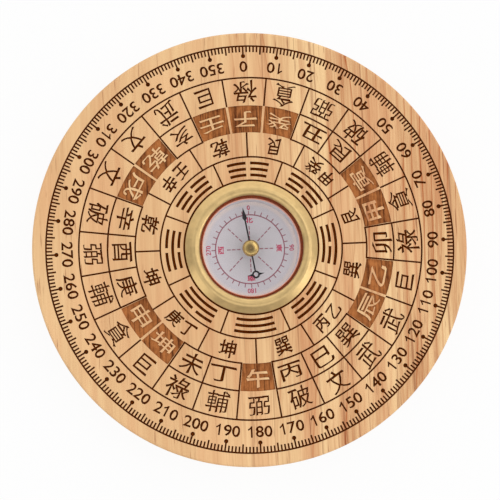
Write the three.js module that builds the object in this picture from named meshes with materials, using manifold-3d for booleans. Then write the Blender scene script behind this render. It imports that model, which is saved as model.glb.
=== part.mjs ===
// A feng shui compass: a round wooden board engraved with the rings of a luopan, and a
// brass compass capsule pressed into a pocket at its middle.
//
// Millimetres, +Z up. The origin is the middle of the board's underside, and the
// board's 0 degree mark lies towards +Y. Bearings run clockwise, as on the board.
//
// The sizes build outwards from the needle: the needle sets the chamber, the chamber
// the capsule, the capsule the pocket, and the bands of the board follow round it.

import * as THREE from 'three';
import { mergeVertices } from 'three/addons/utils/BufferGeometryUtils.js';
import Module from 'manifold-3d';

const wasm = await Module();
wasm.setup();

// How many flat sides stand for a full circle
const boardSides = 60;
const capsuleSides = 48;
const smallSides = 24;
const pinSides = 12;

// How many flat sides stand for a shorter curve
const edgeSteps = 2; // the rounds of the board's edges and of the can's foot
const crownSteps = 3; // the bezel, from its slope to its crest
const rollSteps = 4; // the bezel, from its crest into its opening
const domeSteps = 4; // the cap's shoulder
const bladeSteps = 4; // each curved edge of the needle's blade

const weldDistance = 1e-5; // corners nearer than this are one

// Clearances
const fitGap = 0.05; // between round pieces that are pushed together
const pointGap = 0.3; // between the pivot's point and the jewel that rides on it
const rimGap = 0.1; // between the flange's rim and the hollow of the bezel
const pocketGap = 0.2; // under the can, where it hangs in the pocket by its flange

// Needle
const needleReach = 11.6; // pivot to the arrow's point
const tailReach = 7.45; // pivot to the middle of the tail ring
const needleTurn = 8.8; // degrees anticlockwise of the 0 mark, where the needle rests
const bladeThickness = 0.3;
const shaftWidth = 0.42;
const arrowLength = 3.7;
const arrowWidth = 1.3;
const arrowBarb = 0.95; // length of the part of the arrow behind its widest place
const arrowSwell = 0.15; // how far out the arrow's front edges are drawn by their curve
const tailRingRadius = 1.1;
const tailHoleRadius = 0.6;
const hornSpan = 4.8; // tip to tip of the two horns beside the tail ring
const hornRoot = 0.9; // width of a horn where it leaves the ring's hole
const hornNeck = 0.5; // width that a horn's curve is drawn to at the ring's outside

// Cap that carries the blade
const capRadius = 2.36;
const capFlatRadius = 1.45;
const capRimHeight = 0.45;
const capCrown = 0.55; // metal over the jewel
const capDimpleRadius = 0.35;
const capDimpleDepth = 0.2;
const shankRadius = 1.25;
const lipWidth = 0.28; // peened lip that holds the blade from below
const lipHeight = 0.25;

// Jewel and the pivot it rides on
const jewelRadius = 0.8;
const jewelHeight = 0.9;
const jewelRoof = 0.35;
const jewelMouth = 0.5;
const pinRadius = 0.25;
const pinTaper = 1.1;
const pinTipRadius = 0.03;
const pinDepth = 2.05; // how deep the pin sits in its bushing
const pivotHeight = 3.7; // dial face to the pivot's point
const bladeDrop = 0.3; // the blade's top lies this far below the pivot's point

// Bushing that holds the pin
const bushingCollarRadius = 1.5;
const bushingCollarHeight = 0.5;
const bushingShankRadius = 0.9;
const bushingTopRadius = 0.55;
const bushingHeight = 1.9; // dial face to the bushing's top

// Chamber and capsule
const needleClearance = 1.75; // arrow's point to the chamber wall
const headroom = 2.0; // cap's top to the glass
const spacerWall = 1.6;
const spacerLip = 0.9; // how far the spacer shows inside the bezel
const spacerChamfer = 0.3;
const dialThickness = 0.6;
const canWall = 0.45;
const canFloor = 0.5;
const canFootRound = 0.6;
const glassThickness = 1.2;
const glassChamfer = 0.2;
const glassProud = 0.6; // glass top above the wood
const gasketThickness = 0.25;

// Ribbed liner round the can
const gripWall = 0.65;
const ribHeight = 0.25;
const ribCrest = 0.5; // flat along the top of a rib
const ribCount = 3;
const gripHeight = 5.2;
const gripDrop = 0.8; // liner's top below the wood

// Bezel
const bezelSeat = 1.85; // how far the bezel overlaps the wood round the pocket
const bezelRoll = 1.45; // from the opening out to the crest
const bezelLip = 0.85; // lip's underside to the crest
const bezelCrown = 1.2; // radius over which the crest turns into the slope
const bezelEdge = 0.2; // upright edge where the slope ends at the wood
const bezelWall = 0.4; // brass under the slope

// Board: the plain and engraved bands, from the bezel out to the edge
const trigramBand = 6.77;
const directionBand = 6.84;
const mountainBand = 7.54;
const starBand = 7.8;
const degreeBand = 8.91;
const plainRim = 3.84;
const woodUnderPocket = 4.2;
const edgeRound = 0.7;

// Engraving
const lineWidth = 0.46;
const lineDepth = 0.45;
const sunkDepth = 0.35;
const tickStep = 10; // degrees
const tickLength = 2.8;
const barWidth = 0.78;
const barSpacing = 1.66;
const barHalfAngle = 14.4; // degrees
const brokenHalfAngle = 1.55; // degrees, half the gap of a broken bar

// Rings of cells
const mountainCount = 24;
const directionCount = 12;
const trigramCount = 8;
// Mountain cells that are cut away round their sign, by number from the 0 mark
const sunkCells = [0, 1, 4, 5, 7, 8, 12, 15, 16, 20, 21, 23];
// The eight trigrams from the 0 mark, outer bar first: 1 is a whole bar, 0 a broken one
const trigrams = ['000', '100', '101', '110', '111', '011', '010', '001'];

// Radii that follow, from the needle outwards
const chamberRadius = needleReach + needleClearance;
const openingRadius = chamberRadius + spacerLip;
const spacerRadius = chamberRadius + spacerWall;
const canInnerRadius = spacerRadius + fitGap;
const canRadius = canInnerRadius + canWall;
const gripInnerRadius = canRadius + fitGap;
const gripRadius = gripInnerRadius + gripWall + ribHeight;
const pocketRadius = gripRadius + fitGap;
const bezelRadius = pocketRadius + bezelSeat;
const crestRadius = openingRadius + bezelRoll;
const trigramRadius = bezelRadius + trigramBand;
const directionRadius = trigramRadius + directionBand;
const mountainRadius = directionRadius + mountainBand;
const starRadius = mountainRadius + starBand;
const tickRadius = starRadius + degreeBand;
const boardRadius = tickRadius + plainRim;

// Heights that follow, from the table up
const canHeightBelowWood = canFloor + dialThickness + pivotHeight + pointGap + jewelRoof
  + capCrown + headroom + glassThickness - glassProud;
const boardTop = woodUnderPocket + pocketGap + canHeightBelowWood;
const canBottom = woodUnderPocket + pocketGap;
const dialBottom = canBottom + canFloor;
const dialTop = dialBottom + dialThickness;
const pointHeight = dialTop + pivotHeight;
const jewelTop = pointHeight + pointGap + jewelRoof;
const capTop = jewelTop + capCrown;
const bladeTop = pointHeight - bladeDrop;
const bladeBottom = bladeTop - bladeThickness;
const glassBottom = capTop + headroom;
const glassTop = glassBottom + glassThickness;
const lipBottom = glassTop + gasketThickness;
const bezelTop = lipBottom + bezelLip;

// The bezel's slope is the straight line from the top of its edge that just touches the
// round of its crown. Its angle is in radians from the horizontal.
const crownHeight = bezelTop - bezelCrown - boardTop - bezelEdge;
const crownReach = bezelRadius - crestRadius;
const bezelSlope = Math.asin(bezelCrown / Math.hypot(crownReach, crownHeight))
  + Math.atan2(crownHeight, crownReach);

// The hollow's ceiling runs along the slope, and the can's flange reaches out under it
const hollowRadius = bezelRadius
  - (bezelWall / Math.cos(bezelSlope) - bezelEdge) / Math.tan(bezelSlope);
const ceilingRadius = hollowRadius - (lipBottom - boardTop) / Math.tan(bezelSlope);
const flangeRadius = hollowRadius - (canWall + rimGap) / Math.tan(bezelSlope);

const above = 1; // how far a cutter reaches out of the wood
const arcStep = 7.5; // degrees of arc to each flat side of a cut sector

// Half width of an engraved line's cutter at its top. The line is a V whose width at the
// wood's face is the line width, so above the wood its cutter is wider still.
const cutterHalf = lineWidth / 2 * (lineDepth + above) / lineDepth;

function radians(degrees) {
  return degrees * Math.PI / 180;
}

function inDegrees(angle) {
  return angle * 180 / Math.PI;
}

// Angle from the X axis of a bearing, which is clockwise from +Y
function fromBearing(bearing) {
  return radians(90 - bearing);
}

// A closed geometry as a solid, with its shared corners merged
function solid(geometry) {
  geometry.deleteAttribute('normal');
  geometry.deleteAttribute('uv');
  const merged = mergeVertices(geometry, weldDistance);
  const corners = merged.index.array;
  const triangles = [];
  for (let i = 0; i < corners.length; i += 3) {
    const [a, b, c] = corners.slice(i, i + 3);
    if (a !== b && b !== c && c !== a) {
      triangles.push(a, b, c);
    }
  }
  const mesh = new wasm.Mesh({
    numProp: 3,
    vertProperties: new Float32Array(merged.attributes.position.array),
    triVerts: new Uint32Array(triangles),
  });
  return new wasm.Manifold(mesh);
}

// A solid as a named mesh with a finish of its own
function piece(name, body, color, roughness, metalness) {
  const shape = body.getMesh();
  const geometry = new THREE.BufferGeometry();
  geometry.setAttribute('position', new THREE.BufferAttribute(shape.vertProperties, 3));
  geometry.setIndex(new THREE.BufferAttribute(shape.triVerts, 1));
  geometry.computeVertexNormals();
  const material = new THREE.MeshStandardMaterial({ color, roughness, metalness });
  const mesh = new THREE.Mesh(geometry, material);
  mesh.name = name;
  return mesh;
}

// Revolves [radius, height] points about Z. They run up the outside and down the inside.
function turned(profile, sides) {
  const points = profile.map(([radius, height]) => new THREE.Vector2(radius, height));
  const geometry = new THREE.LatheGeometry(points, sides);
  geometry.rotateX(Math.PI / 2);
  return solid(geometry);
}

// A turned ring, whose profile closes on itself
function turnedRing(profile, sides) {
  return turned([...profile, profile[0]], sides);
}

// Points along an ellipse, from angle start to angle end in degrees
function arcPoints(centre, radii, start, end, steps) {
  const points = [];
  for (let i = 0; i <= steps; i += 1) {
    const angle = radians(start + (end - start) * i / steps);
    points.push([centre[0] + radii[0] * Math.cos(angle), centre[1] + radii[1] * Math.sin(angle)]);
  }
  return points;
}

// A flat outline raised from one height to another
function raised(shape, bottom, top, curveSegments) {
  const geometry = new THREE.ExtrudeGeometry(shape, {
    depth: top - bottom,
    bevelEnabled: false,
    curveSegments,
  });
  geometry.translate(0, 0, bottom);
  return solid(geometry);
}

// A piece of a ring between two radii and two bearings, cut down into the board
function sectorCut(innerRadius, outerRadius, startBearing, endBearing, depth) {
  const start = fromBearing(startBearing);
  const end = fromBearing(endBearing);
  const shape = new THREE.Shape();
  shape.absarc(0, 0, outerRadius, start, end, true);
  shape.absarc(0, 0, innerRadius, end, start, false);
  const steps = Math.ceil((endBearing - startBearing) / arcStep);
  return raised(shape, boardTop - depth, boardTop + above, steps);
}

// A full engraved circle
function circleCut(radius) {
  const top = boardTop + above;
  const profile = [[radius, boardTop - lineDepth], [radius + cutterHalf, top],
    [radius - cutterHalf, top]];
  return turnedRing(profile, boardSides);
}

// An engraved line along a radius
function radialCut(innerRadius, outerRadius, bearing) {
  const shape = new THREE.Shape([
    new THREE.Vector2(0, boardTop - lineDepth),
    new THREE.Vector2(cutterHalf, boardTop + above),
    new THREE.Vector2(-cutterHalf, boardTop + above),
  ]);
  const geometry = new THREE.ExtrudeGeometry(shape, {
    depth: outerRadius - innerRadius,
    bevelEnabled: false,
  });
  geometry.rotateX(Math.PI / 2);
  geometry.translate(0, outerRadius, 0);
  geometry.rotateZ(-radians(bearing));
  return solid(geometry);
}

// The degree band's outer circle and its long ticks
function degreeCuts() {
  const cuts = [circleCut(tickRadius)];
  for (let bearing = 0; bearing < 360; bearing += tickStep) {
    cuts.push(radialCut(tickRadius - tickLength, tickRadius, bearing));
  }
  return cuts;
}

// Evenly spaced dividers of a band, from the bearing of the first
function dividerCuts(innerRadius, outerRadius, count, firstBearing) {
  const cuts = [];
  for (let i = 0; i < count; i += 1) {
    cuts.push(radialCut(innerRadius, outerRadius, firstBearing + i * 360 / count));
  }
  return cuts;
}

// The mountain band: sunk cells keep a thin rib between them, and plain cells have an
// engraved line all round
function mountainCuts() {
  const cuts = [];
  const step = 360 / mountainCount;
  const middle = (directionRadius + mountainRadius) / 2;
  const ribAngle = inDegrees(lineWidth / 2 / middle);
  for (let i = 0; i < mountainCount; i += 1) {
    const start = (i - 0.5) * step;
    const end = start + step;
    const next = (i + 1) % mountainCount;
    const sunk = sunkCells.includes(i);
    if (sunk) {
      cuts.push(sectorCut(directionRadius, mountainRadius, start + ribAngle, end - ribAngle,
        sunkDepth));
    } else {
      for (const radius of [directionRadius, mountainRadius]) {
        cuts.push(sectorCut(radius - lineWidth / 2, radius + lineWidth / 2, start, end,
          lineDepth));
      }
    }
    if (!sunk || !sunkCells.includes(next)) {
      cuts.push(radialCut(directionRadius, mountainRadius, end));
    }
  }
  return cuts;
}

// One trigram: three bars across a bearing, each whole or broken
function trigramCuts(bars, bearing) {
  const cuts = [];
  const middle = (bezelRadius + trigramRadius) / 2;
  [...bars].forEach((bar, row) => {
    const radius = middle + (1 - row) * barSpacing;
    const inner = radius - barWidth / 2;
    const outer = radius + barWidth / 2;
    const start = bearing - barHalfAngle;
    const end = bearing + barHalfAngle;
    if (bar === '1') {
      cuts.push(sectorCut(inner, outer, start, end, lineDepth));
    } else {
      cuts.push(sectorCut(inner, outer, start, bearing - brokenHalfAngle, lineDepth));
      cuts.push(sectorCut(inner, outer, bearing + brokenHalfAngle, end, lineDepth));
    }
  });
  return cuts;
}

function woodenDisc() {
  const bottomRound = arcPoints([boardRadius - edgeRound, edgeRound], [edgeRound, edgeRound],
    -90, 0, edgeSteps);
  const topRound = arcPoints([boardRadius - edgeRound, boardTop - edgeRound],
    [edgeRound, edgeRound], 0, 90, edgeSteps);
  const blank = turned([[0, 0], ...bottomRound, ...topRound, [0, boardTop]], boardSides);
  const pocket = turned([[0, woodUnderPocket], [pocketRadius, woodUnderPocket],
    [pocketRadius, boardTop + above], [0, boardTop + above]], capsuleSides);
  const halfTrigram = 180 / trigramCount;
  const halfMountain = 180 / mountainCount;
  const cuts = [
    ...degreeCuts(),
    circleCut(starRadius),
    ...dividerCuts(mountainRadius, starRadius, mountainCount, halfMountain),
    ...mountainCuts(),
    ...dividerCuts(trigramRadius, directionRadius, directionCount, 0),
    circleCut(trigramRadius),
    circleCut(bezelRadius + lineWidth / 2),
    ...dividerCuts(bezelRadius, trigramRadius, trigramCount, halfTrigram),
  ];
  trigrams.forEach((bars, i) => {
    cuts.push(...trigramCuts(bars, i * 360 / trigramCount));
  });
  const engraving = wasm.Manifold.union(cuts);
  return piece('wooden_disc', blank.subtract(pocket).subtract(engraving), 0xd9a575, 0.6, 0);
}

// Ribbed liner that holds the can in its pocket
function gripRing() {
  const top = boardTop - gripDrop;
  const bottom = top - gripHeight;
  const valley = gripRadius - ribHeight;
  const pitch = gripHeight / ribCount;
  const profile = [[gripInnerRadius, bottom], [valley, bottom]];
  for (let i = 0; i < ribCount; i += 1) {
    const middle = bottom + (i + 0.5) * pitch;
    profile.push([gripRadius, middle - ribCrest / 2]);
    profile.push([gripRadius, middle + ribCrest / 2]);
    profile.push([valley, middle + pitch / 2]);
  }
  profile.push([gripInnerRadius, top]);
  return piece('grip_ring', turnedRing(profile, capsuleSides), 0x2b2622, 0.8, 0);
}

// Drawn brass can, hung on the wood by its flange
function housingCup() {
  const foot = arcPoints([canRadius - canFootRound, canBottom + canFootRound],
    [canFootRound, canFootRound], -90, 0, edgeSteps);
  const hole = bushingShankRadius + fitGap;
  const rim = boardTop + canWall;
  const profile = [
    [hole, canBottom],
    ...foot,
    [canRadius, boardTop],
    [flangeRadius, boardTop],
    [flangeRadius, rim],
    [canInnerRadius, rim],
    [canInnerRadius, dialBottom],
    [hole, dialBottom],
  ];
  return piece('housing_cup', turnedRing(profile, capsuleSides), 0xc9a765, 0.35, 1);
}

// Printed dial, a plain disc on the floor of the can
function dialPlate() {
  const hole = bushingShankRadius + fitGap;
  const profile = [
    [hole, dialBottom],
    [spacerRadius, dialBottom],
    [spacerRadius, dialTop],
    [hole, dialTop],
  ];
  return piece('dial_plate', turnedRing(profile, capsuleSides), 0xc6c6cb, 0.5, 0);
}

// Ring that stands on the dial and carries the glass
function spacerRing() {
  const profile = [
    [chamberRadius, dialTop],
    [spacerRadius, dialTop],
    [spacerRadius, glassBottom],
    [chamberRadius + spacerChamfer, glassBottom],
    [chamberRadius, glassBottom - spacerChamfer],
  ];
  return piece('spacer_ring', turnedRing(profile, capsuleSides), 0x6d2a16, 0.45, 0);
}

function glassLens() {
  const profile = [
    [0, glassBottom],
    [spacerRadius, glassBottom],
    [spacerRadius, glassTop - glassChamfer],
    [spacerRadius - glassChamfer, glassTop],
    [0, glassTop],
  ];
  const mesh = piece('glass_lens', turned(profile, capsuleSides), 0xf2f6f6, 0.05, 0);
  mesh.material.transparent = true;
  mesh.material.opacity = 0.2;
  return mesh;
}

// Thin washer between the glass and the bezel's lip
function lensGasket() {
  const inner = openingRadius + fitGap;
  const profile = [
    [inner, glassTop],
    [spacerRadius - glassChamfer, glassTop],
    [spacerRadius - glassChamfer, lipBottom],
    [inner, lipBottom],
  ];
  return piece('lens_gasket', turnedRing(profile, capsuleSides), 0x3a1c12, 0.7, 0);
}

// Turned brass ring: a rolled lip over the glass, a crest, and a slope down to the wood.
// It is hollow beneath, where it covers the flange.
function bezelRing() {
  const crown = arcPoints([crestRadius, bezelTop - bezelCrown], [bezelCrown, bezelCrown],
    90 - inDegrees(bezelSlope), 90, crownSteps);
  const roll = arcPoints([crestRadius, lipBottom], [bezelRoll, bezelLip], 90, 180, rollSteps);
  const profile = [
    [bezelRadius, boardTop],
    [bezelRadius, boardTop + bezelEdge],
    ...crown,
    ...roll.slice(1),
    [ceilingRadius, lipBottom],
    [hollowRadius, boardTop],
  ];
  return piece('bezel_ring', turnedRing(profile, capsuleSides), 0xd2ae6c, 0.3, 1);
}

// Brass bushing through the dial and the can's floor, bored for the pin
function pivotBushing() {
  const top = dialTop + bushingHeight;
  const bore = pinRadius + fitGap;
  const profile = [
    [0, canBottom],
    [bushingShankRadius, canBottom],
    [bushingShankRadius, dialTop],
    [bushingCollarRadius, dialTop],
    [bushingCollarRadius, dialTop + bushingCollarHeight],
    [bushingTopRadius, top],
    [bore, top],
    [bore, top - pinDepth],
    [0, top - pinDepth],
  ];
  return piece('pivot_bushing', turned(profile, smallSides), 0xb9935a, 0.4, 1);
}

// Hardened steel pin, ground to the point that the needle rides on
function pivotPin() {
  const foot = dialTop + bushingHeight - pinDepth;
  const profile = [
    [0, foot],
    [pinRadius, foot],
    [pinRadius, pointHeight - pinTaper],
    [pinTipRadius, pointHeight],
    [0, pointHeight],
  ];
  return piece('pivot_pin', turned(profile, pinSides), 0x9a9a9c, 0.25, 1);
}

// A plain disc about Z between two heights
function disc(radius, bottom, top) {
  return turned([[0, bottom], [radius, bottom], [radius, top], [0, top]], smallSides);
}

// The arrow and the shaft, from the arrow's point round the shaft's end at the tail ring
function arrowOutline() {
  const half = shaftWidth / 2;
  const wide = arrowWidth / 2;
  const root = needleReach - arrowLength;
  const widest = root + arrowBarb;
  const middle = (needleReach + widest) / 2;
  const outline = new THREE.Shape();
  outline.moveTo(0, needleReach);
  outline.quadraticCurveTo(-wide / 2 - arrowSwell, middle, -wide, widest);
  outline.lineTo(-half, root);
  outline.lineTo(-half, -tailReach);
  outline.lineTo(half, -tailReach);
  outline.lineTo(half, root);
  outline.lineTo(wide, widest);
  outline.quadraticCurveTo(wide / 2 + arrowSwell, middle, 0, needleReach);
  return outline;
}

// The two horns as one shape across the tail ring, tapered to a point at each end
function hornOutline() {
  const tip = hornSpan / 2;
  const root = hornRoot / 2;
  const neck = hornNeck / 2;
  const outline = new THREE.Shape();
  outline.moveTo(tip, 0);
  outline.quadraticCurveTo(tailRingRadius, neck, tailHoleRadius, root);
  outline.lineTo(-tailHoleRadius, root);
  outline.quadraticCurveTo(-tailRingRadius, neck, -tip, 0);
  outline.quadraticCurveTo(-tailRingRadius, -neck, -tailHoleRadius, -root);
  outline.lineTo(tailHoleRadius, -root);
  outline.quadraticCurveTo(tailRingRadius, -neck, tip, 0);
  return outline;
}

// Blued steel blade: arrow, shaft, hub under the cap, and a ring with two horns
function needleBlade() {
  const arrow = raised(arrowOutline(), bladeBottom, bladeTop, bladeSteps);
  const hub = disc(capRadius - capRimHeight / 2, bladeBottom, bladeTop);
  const ring = disc(tailRingRadius, bladeBottom, bladeTop);
  const horns = raised(hornOutline(), bladeBottom, bladeTop, bladeSteps);
  const eye = disc(tailHoleRadius, bladeBottom - above, bladeTop + above);
  const seat = disc(shankRadius + fitGap, bladeBottom - above, bladeTop + above);
  const tail = ring.add(horns).subtract(eye).translate([0, -tailReach, 0]);
  const shaft = arrow.add(hub).subtract(seat);
  const blade = shaft.subtract(eye.translate([0, -tailReach, 0])).add(tail);
  return piece('needle_blade', blade, 0x1c1a1e, 0.35, 0.8);
}

// Turned brass cap, with a shank through the blade and a lip peened under it. It is bored
// from below for the jewel.
function needleCap() {
  const lipFoot = bladeBottom - lipHeight;
  const shoulder = bladeTop + capRimHeight;
  const edge = arcPoints([capFlatRadius, shoulder],
    [capRadius - capFlatRadius, capTop - shoulder], 0, 90, domeSteps);
  const profile = [
    [0, lipFoot],
    [shankRadius + lipWidth, lipFoot],
    [shankRadius, bladeBottom],
    [shankRadius, bladeTop],
    [capRadius, bladeTop],
    ...edge,
    [capDimpleRadius, capTop],
    [0, capTop - capDimpleDepth],
  ];
  const bore = disc(jewelRadius + fitGap, lipFoot - above, jewelTop);
  const cap = turned(profile, smallSides).subtract(bore);
  return piece('needle_cap', cap, 0xc8a552, 0.25, 1);
}

// Jewel cup in the cap's bore, hollowed to a cone for the pivot's point
function jewelBearing() {
  const bottom = jewelTop - jewelHeight;
  const profile = [
    [0, pointHeight + pointGap],
    [jewelMouth, bottom],
    [jewelRadius, bottom],
    [jewelRadius, jewelTop],
    [0, jewelTop],
  ];
  return piece('jewel_bearing', turned(profile, smallSides), 0xa8324a, 0.1, 0);
}

const capsule = new THREE.Group();
capsule.add(gripRing(), housingCup(), dialPlate(), spacerRing(), glassLens(), lensGasket(),
  bezelRing(), pivotBushing(), pivotPin());

// The needle, turned to where it rests
const needle = new THREE.Group();
needle.add(needleBlade(), needleCap(), jewelBearing());
needle.rotation.z = radians(needleTurn);

const compass = new THREE.Group();
compass.add(woodenDisc(), capsule, needle);

export default compass;
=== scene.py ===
"""A feng shui compass: an engraved wooden board with a brass compass capsule in its middle.

Lengths are in metres in the row's frame, +Z up, with the 0 degree mark towards +Y. Plans of
the engraving and the print are laid out in millimetres and scaled once, when they become
meshes. Bearings run clockwise from the 0 mark.
"""
import math

import bmesh
import bpy
import numpy
from bpy.props import FloatProperty, FloatVectorProperty, IntProperty, PointerProperty
from bpy.types import Operator, Panel, PropertyGroup
from mathutils import Matrix, Vector
from mathutils.geometry import delaunay_2d_cdt


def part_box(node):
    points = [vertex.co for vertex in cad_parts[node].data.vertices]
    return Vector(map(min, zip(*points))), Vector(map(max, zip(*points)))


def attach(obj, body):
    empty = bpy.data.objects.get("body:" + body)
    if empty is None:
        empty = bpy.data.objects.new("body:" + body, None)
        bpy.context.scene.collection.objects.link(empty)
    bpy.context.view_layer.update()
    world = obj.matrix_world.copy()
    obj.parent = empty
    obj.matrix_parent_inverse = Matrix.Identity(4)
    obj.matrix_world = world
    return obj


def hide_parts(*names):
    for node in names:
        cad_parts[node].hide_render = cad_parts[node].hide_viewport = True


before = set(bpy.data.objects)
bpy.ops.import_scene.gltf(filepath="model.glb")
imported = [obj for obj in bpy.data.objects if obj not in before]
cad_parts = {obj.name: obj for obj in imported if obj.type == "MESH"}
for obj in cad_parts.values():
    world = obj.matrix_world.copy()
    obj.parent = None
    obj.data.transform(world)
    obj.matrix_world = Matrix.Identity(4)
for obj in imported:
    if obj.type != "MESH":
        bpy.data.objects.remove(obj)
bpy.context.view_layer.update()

bl_info = {
    "name": "Feng Shui Compass",
    "version": (1, 0, 0),
    "blender": (4, 5, 0),
    "location": "3D Viewport > Sidebar > Compass",
    "description": "Builds an engraved wooden luopan board with a brass compass capsule",
    "category": "Add Mesh",
}

MM = 0.001

BOARD_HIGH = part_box("wooden_disc")[1]
BEZEL_LOW, BEZEL_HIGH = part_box("bezel_ring")
SPACER_LOW, SPACER_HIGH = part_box("spacer_ring")
GASKET_LOW, GASKET_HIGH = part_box("lens_gasket")
GLASS_LOW, GLASS_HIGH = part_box("glass_lens")
DIAL_LOW, DIAL_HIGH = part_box("dial_plate")
CAP_LOW, CAP_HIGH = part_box("needle_cap")
BLADE_LOW, BLADE_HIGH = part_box("needle_blade")

BODY = "compass_body"
NEEDLE = "needle"

# Signs of the rings, each in order of bearing from the 0 mark
STARS = "祿貪弼破輔貪祿巨武武文破弼輔祿巨貪輔弼破文文武巨"
MOUNTAINS = "子癸丑艮寅甲卯乙辰巽巳丙午丁未坤申庚酉辛戌乾亥壬"
SUNK = "子癸寅甲乙辰午坤申戌乾壬"
DIRECTIONS = ["艮", "甲癸", "艮", "巽", "丙乙", "巽", "坤", "庚丁", "坤", "乾", "壬辛", "乾"]
# Bars of the eight trigrams from the outside in: 1 is whole, 0 is broken
TRIGRAMS = ["000", "100", "101", "110", "111", "011", "010", "001"]
CARDINALS = "北東南西"

# How each sign is drawn in its ring: the factors of its width and height, and its shifts
# clockwise and outwards in millimetres
STAR_FITS = {
    "祿": (0.97, 1.07, 0.13, 0.04), "貪": (0.87, 1.11, -0.30, -0.04),
    "弼": (0.90, 0.96, -0.09, 0.11), "破": (0.90, 1.02, -0.33, -0.34),
    "輔": (0.93, 1.01, -0.06, -0.17), "巨": (0.82, 0.95, -0.23, -0.04),
    "武": (0.90, 1.09, 0.08, 0.13), "文": (0.83, 1.05, -0.19, 0.17),
}
MOUNTAIN_FITS = {
    "子": (0.97, 0.89, -0.10, 0.01), "癸": (1.01, 0.78, -0.02, 0.07),
    "丑": (1.08, 0.87, 0.43, 0.36), "艮": (0.97, 0.98, -0.18, 0.68),
    "寅": (1.00, 0.94, 0.32, 0.17), "甲": (0.98, 1.07, 0.34, 0.00),
    "卯": (1.03, 1.07, 0.24, 0.57), "乙": (0.98, 0.95, 0.02, 0.05),
    "辰": (1.05, 0.96, -0.40, 0.37), "巽": (0.88, 1.04, -0.06, 0.02),
    "巳": (1.00, 1.06, -0.36, 0.13), "丙": (1.03, 0.90, 0.02, -0.06),
    "午": (0.95, 0.91, -0.11, 0.32), "丁": (1.14, 0.96, 0.31, -0.13),
    "未": (0.94, 1.07, -0.25, 0.13), "坤": (1.07, 0.86, 0.25, -0.01),
    "申": (1.07, 1.01, 0.26, 0.02), "庚": (0.86, 0.99, -0.09, -0.16),
    "酉": (0.85, 1.06, 0.08, -0.13), "辛": (0.99, 0.87, 0.05, -0.13),
    "戌": (1.08, 0.94, -0.09, 0.18), "乾": (1.03, 0.92, -0.15, 0.24),
    "亥": (0.85, 0.91, 0.12, 0.36), "壬": (1.05, 0.77, -0.24, -0.01),
}
DIRECTION_FITS = {
    "艮": (0.77, 0.99, -0.18, 0.21), "巽": (0.83, 0.98, -0.09, -0.01),
    "坤": (0.89, 0.94, 0.45, 0.17), "乾": (0.91, 0.91, -0.10, 0.12),
}
PAIR_FIT = (0.76, 0.83, 0.0, 0.05)

# How each ring is written: the cell that a full sign takes, across and inwards in
# millimetres, then the lean of its signs and the weight added to their strokes, in sizes
STAR_HAND = ((6.2, 5.3), 0.06, 0.004)
MOUNTAIN_HAND = ((6.0, 4.9), 0.02, 0.007)
SINGLE_HAND = ((4.9, 4.7), 0.08, 0.015)
PAIR_HAND = ((4.9, 4.7), 0.08, 0.018)
# From one sign of a pair to the next in degrees, and the rib between sunk cells in lines
PAIR_SPREAD = 9.6
RIB_WIDTH = 1.4
# The box of a full sign in the font, in sizes
FULL_WIDTH = 0.90
FULL_HEIGHT = 0.88
# Added to upright strokes and taken from level ones, and the pull on a stroke's end
PEN = 0.011
FLARE = 0.045
# A stroke's end: its greatest width, the least sine of its turns, and the shares of the pull
# that its first and its last corner take outwards, and both take sideways
STROKE_END = 0.13
SHARP_TURN = 0.75
END_PULL = (1.0, 0.1)
END_SPREAD = 0.3
# How much the weight swells and thins, and the pace and the start of its wave on each axis
SWELL = 0.8
SWELL_WAVES = ((11.0, 4.0), (9.0, 1.0))
# Signs whose strokes lie close together or far apart, and what their weight changes by
CROWDED = "武輔弼癸寅辰坤申戌乾"
CROWDED_CHANGE = -0.004
OPEN_CHANGE = {"甲": 0.006, "乙": 0.010, "午": 0.005, "巨": 0.003}

# The degree figures: the one as drawn on the board, the step from figure to figure in
# heights, the weight added to the strokes, and how much wider they are than the font's
ONE = ((-0.05, -0.5), (0.10, -0.5), (0.10, 0.5), (0.0, 0.5), (-0.08, 0.395), (-0.18, 0.31),
       (-0.29, 0.255), (-0.29, 0.12), (-0.17, 0.17), (-0.05, 0.25))
FIGURE_PITCH = 0.745
FIGURE_WEIGHT = 0.016
FIGURE_STRETCH = 1.13

# The print on the dial: rows of dashes by first bearing, inner and outer radius in
# millimetres and number, then how much of its pitch a dash fills, and how wide the dashes
# and ticks are, in lines
DASH_ROWS = ((0.0, 2.7, 6.85, 3), (45.0, 3.1, 8.85, 4))
DASH_SHARE = 0.75
DASH_WIDTH = 0.9
TICK_WIDTH = 0.8
# The compass points and the figures at the quarters: the radius and the size in
# millimetres, and the weight added to the strokes
CARDINAL_CIRCLE = 8.2
CARDINAL_SIZE = (2.25, 1.7)
CARDINAL_WEIGHT = 0.03
QUARTER_CIRCLE = 11.72
QUARTER_HEIGHT = 1.35
QUARTER_WEIGHT = 0.02

# The dimple in the cap, from its rim in: shares of its radius and of its depth
DIMPLE = ((1.0, 0.07), (0.85, 0.21), (0.6, 0.57), (0.3, 0.86), (0.0, 1.0))

# Steps round the board, the printed circle, the pocket and the cap, the needle's rings and
# the dots of the ticks
BOARD_STEPS = 288
PRINT_STEPS = 144
POCKET_STEPS = 96
NEEDLE_STEPS = 48
DOT_STEPS = 12
# The turn past which an edge is shaded as a crisp one, in degrees
CRISP = 35.0

# The heart of the tree, left of the board's middle and below the table, and the usual
# distance from one growth ring to the next, in millimetres
HEART_LEFT = 105.0
HEART_BELOW = 62.0
RING_PITCH = 2.3


def length(name, description, default):
    """A length in metres that a user can set."""
    return FloatProperty(name=name, description=description, default=default, min=0.0,
                         precision=5, unit='LENGTH')


def angle(name, description, default):
    """An angle, given here in degrees."""
    return FloatProperty(name=name, description=description, default=math.radians(default),
                         subtype='ANGLE')


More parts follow.
